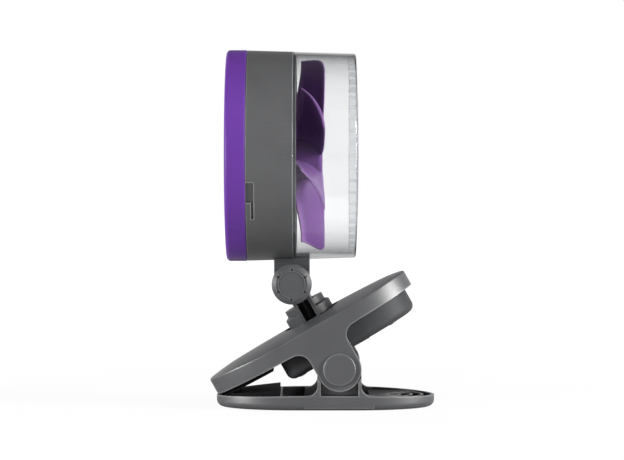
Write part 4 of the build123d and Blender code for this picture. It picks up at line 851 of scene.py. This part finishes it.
@dataclass
class Drum(SubAssembly):
    """Neck, housing with its grip lines, and rear cover. Sizes in millimetres, in the head's frame."""

    title: str = "drum"
    nodes: tuple[Refined, ...] = (
        *on(
            Body.HEAD,
            ("neck_bracket", "arm_plastic"),
            ("neck_screws", "screw_steel"),
            ("friction_washers", "fibre"),
            ("housing", "housing_plastic"),
        ),
        Refined(Body.REAR_COVER, "rear_cover", "cover_plastic"),
        Refined(Body.SWITCH, "switch_slider", "switch_plastic"),
        Refined(Body.HEAD, "switch_body", "switch_plastic"),
    )
    wall_back: float = 69.8
    wall_taper: float = 0.8
    length: float = 30.6
    line_radius: float = 0.16
    line_sink: float = 0.02
    line_end: float = -0.6
    line_sides: int = 8
    lines: tuple[Range, ...] = (
        (26.7, -15.8), (23.5, -5.6), (20.3, -19.0), (17.7, -6.2), (15.2, -14.5),
        (12.6, -15.2), (9.9, -12.6), (7.4, -10.1), (5.5, -19.0), (1.7, -18.3),
    )

    def wall_point(self, x: float, height: float) -> Vector:
        """Point just under the housing's near wall, in metres."""
        radius = self.wall_back + self.wall_taper * (-self.length - x) / self.length - self.line_sink
        return HEAD @ (Vector((x, -math.sqrt(radius**2 - height**2), height)) * MM)

    def shapes(self) -> None:
        """Build the raised rounded grip lines along the near side."""
        runs = [[self.wall_point(x, height) for x in (start, self.line_end)] for height, start in self.lines]
        tubes = swept_tube("housing_grip_lines", runs, self.line_radius, self.line_sides, "housing_lines", None)
        finish_piece(tubes, Body.HEAD, "housing_plastic")


@dataclass
class Grille(SubAssembly):
    """Clear shroud and its finger guard. Sizes in millimetres, in the head's frame."""

    title: str = "grille"
    nodes: tuple[Refined, ...] = (Refined(Body.HEAD, "front_shroud", "clear_plastic", angle=40.0),)
    length: float = 41.4
    back: float = 36.0
    dome: float = 1.6
    edge: float = 65.9
    rings: tuple[float, ...] = (13.0, 25.625, 38.25, 50.875, 63.5)
    counts: tuple[int, ...] = (24, 24, 48, 48)
    swirl: tuple[float, ...] = (5.0, 4.0, 3.0, 2.5)
    rib: float = 1.5
    ring: float = 1.6
    round: float = 0.45
    corner: float = 0.9
    corner_share: float = 0.45
    straight: float = -0.9
    sectors: int = 24
    smooth: float = 40.0
    profile: tuple[Range, ...] = ((1.0, 0.0), (0.62, 0.08), (0.29, 0.29), (0.08, 0.62), (0.0, 1.0))

    def rib_line(self) -> list[Range]:
        """Radius and angle of a main rib's middle where it meets each ring."""
        return [(radius, sum(self.swirl[:i])) for i, radius in enumerate(self.rings)]

    @staticmethod
    def at(radius: float, angle: float) -> Vector:
        """Point of the flat pattern."""
        return Vector((radius * math.cos(angle), radius * math.sin(angle)))

    def cell(self, i: int, k: int) -> list[Vector]:
        """Outline of one gap between two rings and two ribs, with rounded corners.

        Args:
            i: the number of the inner ring.
            k: the gap's place in its sector.

        Returns:
            The outline's points, in order.
        """
        step = 360.0 / self.counts[i]
        inner = sum(self.swirl[:i]) + step * k
        outer = inner + self.swirl[i]
        low, high = self.rings[i] + self.ring / 2, self.rings[i + 1] - self.ring / 2
        corners = ((low, 1, inner), (high, 1, outer), (high, -1, outer + step), (low, -1, inner + step))
        a, b, c, d = (math.radians(turn) + side * self.rib / 2 / radius for radius, side, turn in corners)
        outline = [self.at(low, a)]
        outline += [self.at(high, b + (c - b) * t / 3) for t in range(3)]
        outline.append(self.at(high, c))
        outline += [self.at(low, d + (a - d) * t / 3) for t in range(3)]
        return self.rounded(outline)

    def rounded(self, outline: list[Vector]) -> list[Vector]:
        """Cut each sharp corner of a closed outline into a short curve."""
        result = []
        for i, corner in enumerate(outline):
            before = outline[i - 1] - corner
            after = outline[(i + 1) % len(outline)] - corner
            if before.normalized().dot(after.normalized()) < self.straight:
                result.append(corner)
                continue
            reach = [min(self.corner, way.length * self.corner_share) for way in (before, after)]
            a, b = corner + before.normalized() * reach[0], corner + after.normalized() * reach[1]
            for t in (0.0, 0.33, 0.67, 1.0):
                result.append(a * (1 - t) ** 2 + corner * 2 * t * (1 - t) + b * t**2)
        return result

    def border(self) -> list[Vector]:
        """Outline of one sector, along the middles of two main ribs."""
        line = [(0.0, 0.0)] + self.rib_line()
        last = line[-1][1]
        line.append((self.edge, last))
        dense = []
        for (r1, a1), (r2, a2) in zip(line, line[1:]):
            # A straight run stays one edge, so that neighbouring sectors share it
            count = 4 if a2 > a1 else 1
            dense += [(r1 + (r2 - r1) * t / count, a1 + (a2 - a1) * t / count) for t in range(count)]
        dense.append(line[-1])
        step = math.radians(360.0 / self.sectors)
        low = [self.at(r, math.radians(a)) for r, a in dense]
        arc = [self.at(self.edge, math.radians(last) + step * t / 5) for t in range(1, 5)]
        high = [self.at(r, math.radians(a) + step) for r, a in reversed(dense) if r > 0]
        return low + arc + high

    @staticmethod
    def grown(outline: list[Vector], by: float) -> list[Vector]:
        """Move a closed outline outwards, away from its gap, by a distance."""
        count = len(outline)
        area = sum(outline[i - 1].cross(outline[i]) for i in range(count))
        sign = 1.0 if area > 0 else -1.0
        moved = []
        for i, point in enumerate(outline):
            along = (outline[(i + 1) % count] - outline[i - 1]).normalized()
            moved.append(point + Vector((along.y, -along.x)) * sign * by)
        return moved

    @staticmethod
    def inside(point: Vector, outline: list[Vector]) -> bool:
        """Whether a point of the flat pattern lies in an outline."""
        hit = False
        for a, b in zip(outline, outline[1:] + outline[:1]):
            if (a.y > point.y) != (b.y > point.y):
                if point.x < a.x + (b.x - a.x) * (point.y - a.y) / (b.y - a.y):
                    hit = not hit
        return hit

    def height_at(self, radius: float, side: int) -> float:
        """Place along the axis of the flat back, side 0, or of the domed front, side 1, at a radius."""
        if not side:
            return self.back
        sphere = (self.edge**2 + self.dome**2) / (2 * self.dome)
        return self.length + self.dome - (sphere - math.sqrt(sphere**2 - radius**2))

    def sector_mesh(self) -> bpy.types.Mesh:
        """One sector: two faces, the outer edge and the rounded walls of its gaps."""
        cells = [self.cell(i, k) for i, count in enumerate(self.counts) for k in range(count // self.sectors)]
        border = self.border()
        loops = [self.grown(cell, self.round) for cell in cells]
        points: list[Point] = []
        faces: list[list[int]] = []
        flat: list[Vector] = []
        edges: list[tuple[int, int]] = []
        for loop in [border] + loops:
            start, count = len(flat), len(loop)
            edges += [(start + (i - 1) % count, start + i) for i in range(count)]
            flat += loop
        found, _, tris, _, _, _ = delaunay_2d_cdt(flat, edges, [], 0, 1e-6)
        for side in (0, 1):
            start = len(points)
            points += [(self.height_at(p.length, side), p.x, p.y) for p in found]
            for tri in tris:
                middle = sum((found[i] for i in tri), Vector((0.0, 0.0))) / 3
                if self.inside(middle, border) and not any(self.inside(middle, loop) for loop in loops):
                    faces.append([start + i for i in tri])
        for cell in cells:
            walls = []
            for side, way, profile in ((0, 1, self.profile), (1, -1, self.profile[::-1])):
                for inset, drop in profile:
                    ring = self.grown(cell, self.round * inset) if inset else cell
                    walls.append(list(range(len(points), len(points) + len(ring))))
                    points += [(self.height_at(p.length, side) + way * drop * self.round, p.x, p.y) for p in ring]
            faces += stitched(walls)
        rim = [p for p in border if abs(p.length - self.edge) < 1e-4]
        rim.sort(key=lambda p: math.atan2(p.y, p.x))
        for a, b in zip(rim, rim[1:]):
            faces.append(list(range(len(points), len(points) + 4)))
            points += [(self.height_at(self.edge, side), p.x, p.y) for p, side in ((a, 0), (b, 0), (b, 1), (a, 1))]
        return mesh_from("guard_sector", points, faces)

    def shapes(self) -> None:
        """Build the finger guard."""
        guard = ring_array("finger_guard_clear", self.sector_mesh(), self.sectors, "clear_guard", RING_WELD)
        smooth_by_angle(welded(guard.data, RING_WELD), self.smooth)
        finish_piece(guard, Body.HEAD, "clear_plastic", ["finger_guard"])


@dataclass
class Impeller(SubAssembly):
    """Seven swept blades on a domed hub cup. Sizes in millimetres, in the head's frame."""

    title: str = "impeller"
    nodes: tuple[Refined, ...] = ()
    blades: int = 7
    tip: float = 63.5
    thickness: float = 1.7
    tip_corner: float = 3.5
    first: float = 200.5
    root: float = 15.6
    camber: float = 0.09
    edge_share: float = 0.07
    edge_thick: float = 0.35
    bow_thick: float = 0.15
    tip_inset: float = 0.4
    sections: tuple[tuple[float, ...], ...] = (
        (14.0, 2.0, 18.6, 42.0, 9.0),
        (28.0, 0.8, 19.8, 38.0, 5.0),
        (46.0, 3.6, 20.4, 31.0, 2.0),
        (66.0, 4.6, 20.4, 26.6, 0.0),
    )
    tip_rows: tuple[Range, ...] = ((0.5, 0.9), (0.86, 0.6), (1.0, 0.2))
    cup_back: float = 1.0
    cup_front: float = 19.2
    cup_radius: float = 17.0
    cup_wall: float = 2.0
    cup_corner: float = 3.0
    cup_chamfer: float = 0.5
    cup_lip: float = 0.3
    dimple: tuple[float, ...] = (0.25, 1.1, 1.4)
    boss: float = 4.2
    bore: float = 1.0
    along: int = 26
    across: int = 22
    hub_steps: int = 96
    search: Range = (5.0, 70.0)
    halvings: int = 30
    blade_smooth: float = 60.0
    hub_smooth: float = 30.0

    def section_at(self, radius: float) -> list[float]:
        """The four values of a blade section at any radius, on a smooth curve through the given ones."""
        values = [0.0] * 4
        for row in self.sections:
            weight = 1.0
            for other in self.sections:
                if other is not row:
                    weight *= (radius - other[0]) / (row[0] - other[0])
            values = [total + value * weight for total, value in zip(values, row[1:])]
        return values

    def blade_point(self, radius: float, chord: float, side: float) -> Vector:
        """A point of the blade's skin.

        Args:
            radius: distance of the flat section from the axis.
            chord: place from the back edge, 0, to the front edge, 1.
            side: 1 for the upper skin, -1 for the lower and 0 for the middle.

        Returns:
            The point in the head's frame.
        """
        x_back, x_front, sweep, shift = self.section_at(radius)
        half = radius * math.sin(math.radians(sweep / 2))
        back = Vector((x_back, -half))
        line = Vector((x_front, half)) - back
        normal = Vector((-line.y, line.x)).normalized()
        bow = 4 * chord * (1 - chord)
        past = max(0.0, abs(2 * chord - 1) - (1 - self.edge_share))
        rounding = math.sqrt(max(0.0, 1 - past**2 / self.edge_share**2))
        thick = self.thickness * (self.edge_thick + self.bow_thick * bow) * rounding
        place = back + line * chord + normal * (-self.camber * line.length * bow + side * thick)
        angle = math.radians(self.first + shift)
        out = Vector((0.0, math.cos(angle), math.sin(angle)))
        round_way = Vector((0.0, -math.sin(angle), math.cos(angle)))
        return Vector((place.x, 0.0, 0.0)) + out * radius + round_way * place.y

    def trim(self, x: float) -> float:
        """Tip radius at x, with the rounded front corner."""
        into = x - (self.sections[-1][2] - self.tip_corner)
        if into <= 0:
            return self.tip
        into = min(into, self.tip_corner)
        return self.tip - self.tip_corner + math.sqrt(self.tip_corner**2 - into**2)

    def flat_radius(self, true_radius: float, chord: float) -> float:
        """Section radius whose middle point at that chord lies at a true radius from the axis."""
        low, high = self.search
        for _ in range(self.halvings):
            middle = (low + high) / 2
            point = self.blade_point(middle, chord, 0.0)
            if math.hypot(point.y, point.z) < true_radius:
                low = middle
            else:
                high = middle
        return (low + high) / 2

    def blade_mesh(self) -> bpy.types.Mesh:
        """One blade with rounded edges."""
        points: list[Vector] = []
        rows: list[list[int]] = []
        chords = [0.5 - 0.5 * math.cos(math.pi * j / self.across) for j in range(self.across + 1)]
        ring = [(chord, 1.0) for chord in chords] + [(chord, -1.0) for chord in reversed(chords[1:-1])]
        inset = self.thickness * self.tip_inset
        stops = [(i / self.along, 0.0, 1.0) for i in range(self.along + 1)]
        stops += [(1.0, grow, thin) for grow, thin in self.tip_rows]
        for part, grow, thin in stops:
            rows.append(list(range(len(points), len(points) + len(ring))))
            for chord, side in ring:
                edge_x = self.blade_point(self.flat_radius(self.tip, chord), chord, 0.0).x
                limit = self.trim(edge_x) - inset + inset * grow
                true_radius = self.root + (limit - self.root) * part
                points.append(self.blade_point(self.flat_radius(true_radius, chord), chord, side * thin))
        faces = stitched(rows) + [rows[0]]
        last = rows[-1]
        for i in range(1, len(ring) // 2 + 1):
            faces.append([last[i - 1], last[i], last[-i], last[(-i + 1) % len(last)]])
        return mesh_from("one_blade", points, faces)

    def cup_outline(self) -> list[Range]:
        """Closed outline of the hub cup and its boss, as x and radius."""
        back, front, corner = self.cup_back, self.cup_front, self.cup_corner
        floor, inner = front - self.cup_wall, self.cup_radius - self.cup_wall
        chamfer, (sink, dimple, rim) = self.cup_chamfer, self.dimple
        outline = [(back, inner + self.cup_lip), (back, self.cup_radius - chamfer), (back + chamfer, self.cup_radius)]
        for i in range(9):
            angle = math.pi / 2 * i / 8
            x = front - corner + corner * math.sin(angle)
            outline.append((x, self.cup_radius - corner + corner * math.cos(angle)))
        outline += [(front, rim), (front - sink, dimple), (front - sink, 0.0), (floor, 0.0), (floor, self.bore)]
        return outline + [(back + 1, self.bore), (back + 1, self.boss), (floor, self.boss), (floor, inner)]

    def hub_mesh(self) -> bpy.types.Mesh:
        """Hub cup turned about the fan's axis."""
        outline = self.cup_outline()
        steps, count = self.hub_steps, len(outline)
        points: list[Point] = []
        faces = []
        for k in range(steps):
            angle = 2 * math.pi * k / steps
            points += [(x, r * math.cos(angle), r * math.sin(angle)) for x, r in outline]
            here, there = k * count, ((k + 1) % steps) * count
            for i in range(count):
                j = (i + 1) % count
                faces.append([here + i, here + j, there + j, there + i])
        mesh = mesh_from("hub_cup", points, faces)
        smooth_by_angle(mesh, self.hub_smooth)
        return mesh

    def shapes(self) -> None:
        """Build the blades and the hub."""
        blades = ring_array("impeller_blades", self.blade_mesh(), self.blades, "blade_plastic")
        smooth_by_angle(blades.data, self.blade_smooth)
        for piece in (blades, link_piece("impeller_hub", self.hub_mesh())):
            finish_piece(piece, Body.IMPELLER, "blade_plastic", ["impeller"])


@dataclass
class PowerPack(SubAssembly):
    """Cells, contacts and wires. Sizes in millimetres, in the head's frame."""

    title: str = "power pack"
    nodes: tuple[Refined, ...] = on(
        Body.HEAD, ("battery_cells", "cell_wrap"), ("contact_plates", "contact_nickel")
    )
    cell_y: float = 36.0
    cell_x: float = -24.4
    contact_z: float = 36.2
    wide: float = 6.1
    narrow: float = 3.6
    wire: float = 0.45
    wire_sides: int = 8
    turns: float = 3.5
    steps_a_turn: int = 28
    closed_coil: float = 0.12
    spring_space: float = 4.9
    nub: float = 1.4
    cover_radius: float = 0.7
    wires: tuple[tuple[str, Colour, tuple[Point, ...]], ...] = (
        ("black", (0.012, 0.012, 0.013), (
            (-24.4, -28.6, 35.45), (-31.0, -16.0, 33.0), (-35.8, -7.1, 10.0), (-35.8, -7.1, 0.8))),
        ("red", (0.45, 0.015, 0.012), (
            (-24.4, 43.4, 35.45), (-19.0, 53.5, 32.5), (-15.0, 61.8, 20.0), (-15.0, 61.8, 11.8))),
        ("orange", (0.5, 0.13, 0.01), (
            (-15.0, 61.8, -11.8), (-15.5, 61.0, -22.0), (-22.0, 47.0, -42.5),
            (-31.0, 20.0, -43.5), (-35.8, 7.1, -14.0), (-35.8, 7.1, -0.8))),
        ("blue", (0.012, 0.05, 0.32), (
            (-24.4, -28.6, -35.45), (-27.0, -10.0, -37.0), (-27.0, 10.0, -37.0), (-24.4, 28.6, -35.45))),
    )

    def contact_spring(self, y: float, end: int) -> list[Vector]:
        """Centre line of one conical contact spring, in metres.

        Args:
            y: the cell's place.
            end: 1 for the upper contact and -1 for the lower one.

        Returns:
            The line's points.
        """
        positive = (y < 0) == (end > 0)
        length = self.spring_space if positive else self.spring_space + self.nub
        steps = int(self.steps_a_turn * self.turns)
        line = []
        for i in range(steps + 1):
            part = i / steps
            angle = 2 * math.pi * self.turns * part
            radius = self.wide + (self.narrow - self.wide) * part
            climbed = min(1.0, max(0.0, (part - self.closed_coil) / (1 - 2 * self.closed_coil)))
            rise = self.wire + (length - 2 * self.wire) * climbed
            x, out = self.cell_x + radius * math.cos(angle), y + radius * math.sin(angle)
            line.append(HEAD @ (Vector((x, out, end * (self.contact_z - rise))) * MM))
        return line

    def routed_wire(self, title: str, tint: Colour, route: Sequence[Point]) -> bpy.types.Object:
        """One insulated wire as a smooth spline along its route, in its own tint."""
        curve = bpy.data.curves.new("wire_" + title, "CURVE")
        curve.dimensions = "3D"
        curve.bevel_depth = self.cover_radius * MM
        curve.bevel_resolution = 3
        curve.resolution_u = 10
        curve.use_fill_caps = True
        spline = curve.splines.new("NURBS")
        spline.points.add(len(route) - 1)
        for target, point in zip(spline.points, route):
            target.co = (*(HEAD @ (Vector(point) * MM)), 1.0)
        spline.order_u = 3
        spline.use_endpoint_u = True
        mesh = baked_mesh(link_piece("wire_source_" + title, curve), "wire_" + title)
        mesh.materials.clear()
        mesh.materials.append(wire_cover(title, tint).material())
        smooth_by_angle(welded(mesh, MESH_WELD), 50.0)
        return link_piece("wire_" + title, mesh)

    def shapes(self) -> None:
        """Build the contact springs and the wires."""
        ends = ((-self.cell_y, -1), (self.cell_y, 1), (-self.cell_y, 1), (self.cell_y, -1))
        for number, (y, end) in enumerate(ends, 1):
            line = [self.contact_spring(y, end)]
            coil = swept_tube("contact_coil_" + str(number), line, self.wire, self.wire_sides, "contact_nickel")
            finish_piece(coil, Body.HEAD, "contact_nickel", ["contact_springs"])
        for row in self.wires:
            finish_piece(self.routed_wire(*row), Body.HEAD, "wire_cover", ["wires"])


LEVER = SubAssembly("lever", on(
    Body.UPPER_JAW,
    ("upper_jaw", "clip_plastic", None, 24.0),
    ("pivot_caps", "clip_plastic"),
    ("jaw_grip_pad", "grip_rubber"),
    ("jaw_under_cover", "arm_plastic", "pan_plastic"),
    ("under_cover_screws", "screw_steel"),
    ("swivel_spring_washer", "spring_steel"),
))
ARM = SubAssembly("arm", on(
    Body.ARM,
    ("swivel_yoke", "arm_plastic"),
    ("swivel_washer", "screw_steel"),
    ("swivel_screw", "screw_steel"),
    ("tilt_bolt", "screw_steel"),
))
KNOB = SubAssembly("knob", on(
    Body.KNOB, ("tilt_knob", "clip_plastic", "knob_plastic"), ("knob_insert", "brass")
))
MOTOR = SubAssembly("motor", on(Body.IMPELLER, ("motor_shaft", "screw_steel")) + on(
    Body.HEAD,
    ("motor_can", "motor_steel"),
    ("motor_bearing", "bronze"),
    ("motor_end_cap", "motor_plastic"),
    ("motor_screws", "screw_steel"),
))


# Studio


@dataclass(frozen=True)
class Lamp:
    """A soft square lamp, and whether it shows in reflections and through clear plastic."""

    name: str
    place: Point
    target: Point
    size: float
    power: float
    mirrored: bool = False
    through: bool = False


def aimed(name: str, data: bpy.types.ID, place: Point, target: Point) -> bpy.types.Object:
    """Place a camera or lamp and point it at its target."""
    piece = link_piece(name, data)
    piece.location = place
    piece.rotation_euler = (Vector(target) - Vector(place)).to_track_quat("-Z", "Y").to_euler()
    return piece


@dataclass
class Studio:
    """Pale floor, white surroundings, soft lamps and the camera. Sizes in metres."""

    camera: Point = (-0.009, -1.729, 0.1824)
    target: Point = (-0.009, 0.0, 0.1172)
    lens: float = 150.0
    sensor: float = 36.0
    nearest: float = 0.05
    world_level: float = 0.16
    floor_size: float = 8.0
    floor_drop: float = 0.0002
    floor_glow: float = 0.84
    floor_dull: float = 0.8
    floor_glow_strength: float = 1.1
    floor_matt: Colour = (0.4, 0.4, 0.4)
    floor_fade: Range = (0.25, 1.0)
    dim_front: float = 0.12
    dim_ceiling: float = 0.1
    room_depth: Range = (-0.2, 0.4)
    room_height: Range = (0.12, 0.5)
    lamps: tuple[Lamp, ...] = (
        Lamp("top", (-0.1, -0.6, 1.3), (0.0, 0.0, 0.14), 1.0, 3.5),
        Lamp("front", (0.1, -1.7, 0.8), (0.0, 0.0, 0.14), 0.9, 2.0),
        Lamp("left", (-1.2, -0.6, 0.22), (0.0, 0.0, 0.07), 0.4, 21.0, True, True),
        Lamp("right", (1.2, -0.4, 0.55), (0.0, 0.0, 0.1), 0.5, 23.0, True, True),
        Lamp("low_right", (1.2, -0.5, 0.16), (0.05, 0.0, 0.02), 0.3, 6.0, True),
        Lamp("back", (-0.9, 1.4, 0.9), (0.0, 0.0, 0.12), 0.9, 12.0),
    )

    def build_camera(self) -> None:
        """Camera at the photograph's viewing angle."""
        data = bpy.data.cameras.new("camera")
        data.sensor_fit = "HORIZONTAL"
        data.sensor_width = self.sensor
        data.lens = self.lens
        data.clip_start = self.nearest
        bpy.context.scene.camera = aimed("camera", data, self.camera, self.target)

    def room_share(self, sheet: NodeSheet, depth: object, height: object) -> Socket:
        """How white a reflection sees the room: white behind the object, dim in front and at the ceiling.

        Args:
            sheet: the material's or the world's sheet.
            depth: how far behind the object the place or direction is.
            height: how high it is.

        Returns:
            1 for camera rays, the room's own share for reflections and clear plastic, 0 for all others.
        """
        path = sheet.add("ShaderNodeLightPath").outputs
        back = sheet.spread(depth, *self.room_depth, (self.dim_front, 1.0))
        low = sheet.spread(height, *self.room_height, (1.0, self.dim_ceiling))
        mirror = sheet.larger(path["Is Glossy Ray"], path["Is Transmission Ray"])
        return sheet.larger(path["Is Camera Ray"], sheet.times(mirror, sheet.times(back, low)))

    def build_world(self) -> None:
        """White where it is seen, softer where it lights the object."""
        world = bpy.data.worlds.new("studio")
        bpy.context.scene.world = world
        world.use_nodes = True
        sheet = NodeSheet(world.node_tree)
        way = sheet.add("ShaderNodeSeparateXYZ", {0: sheet.add("ShaderNodeTexCoord").outputs["Generated"]})
        share = self.room_share(sheet, way.outputs[1], way.outputs[2])
        path = sheet.add("ShaderNodeLightPath").outputs
        seen = sheet.larger(path["Is Glossy Ray"], path["Is Transmission Ray"])
        seen = sheet.larger(seen, path["Is Camera Ray"])
        white = sheet.add("ShaderNodeBackground", {"Color": WHITE, "Strength": share})
        soft = sheet.add("ShaderNodeBackground", {"Color": WHITE, "Strength": self.world_level})
        sheet.show(sheet.mix(seen, soft, white), "World")

    def build_floor(self) -> None:
        """Plain pale floor that keeps the object's faint shadow."""
        half = self.floor_size / 2
        mesh = bpy.data.meshes.new("floor")
        corners = [(x * half, y * half, -self.floor_drop) for x, y in ((-1, -1), (1, -1), (1, 1), (-1, 1))]
        mesh.from_pydata(corners, [], [[0, 1, 2, 3]])
        material, sheet, place = new_material("floor_white")
        at = sheet.add("ShaderNodeSeparateXYZ", {0: place})
        away = sheet.add("ShaderNodeVectorMath", {0: place}, operation="LENGTH").outputs["Value"]
        far = sheet.spread(away, *self.floor_fade, (self.floor_glow, 1.0))
        share = sheet.times(self.room_share(sheet, at.outputs[1], 0.0), far)
        path = sheet.add("ShaderNodeLightPath").outputs
        dull = sheet.maths("SUBTRACT", path["Is Glossy Ray"], path["Is Transmission Ray"], clamp=True)
        share = sheet.times(share, sheet.maths("SUBTRACT", 1.0, sheet.times(dull, self.floor_dull)))
        matt = sheet.add("ShaderNodeBsdfDiffuse", {"Color": self.floor_matt})
        glow = sheet.add("ShaderNodeEmission", {"Color": WHITE, "Strength": self.floor_glow_strength})
        sheet.show(sheet.mix(share, matt, glow))
        mesh.materials.append(material)
        floor = link_piece("floor", mesh)

    def build_lamps(self) -> None:
        """Soft square lamps aimed at the object."""
        for row in self.lamps:
            data = bpy.data.lights.new("lamp_" + row.name, "AREA")
            data.shape = "SQUARE"
            data.size = row.size
            data.energy = row.power
            lamp = aimed("lamp_" + row.name, data, row.place, row.target)
            lamp.visible_glossy = row.mirrored
            lamp.visible_transmission = row.through

    def build(self) -> None:
        """Build the studio."""
        bpy.context.scene.view_settings.view_transform = "Standard"
        self.build_camera()
        self.build_world()
        self.build_floor()
        self.build_lamps()


def main() -> None:
    """Build the studio and the sub-assemblies in order."""
    logging.basicConfig(level=logging.INFO, format="%(name)s: %(message)s")
    Studio().build()
    Effects.build()
    for part in (Stand(), LEVER, ARM, KNOB, Drum(), Grille(), Impeller(), MOTOR, PowerPack()):
        part.build()


if __name__ == "__main__":
    main()
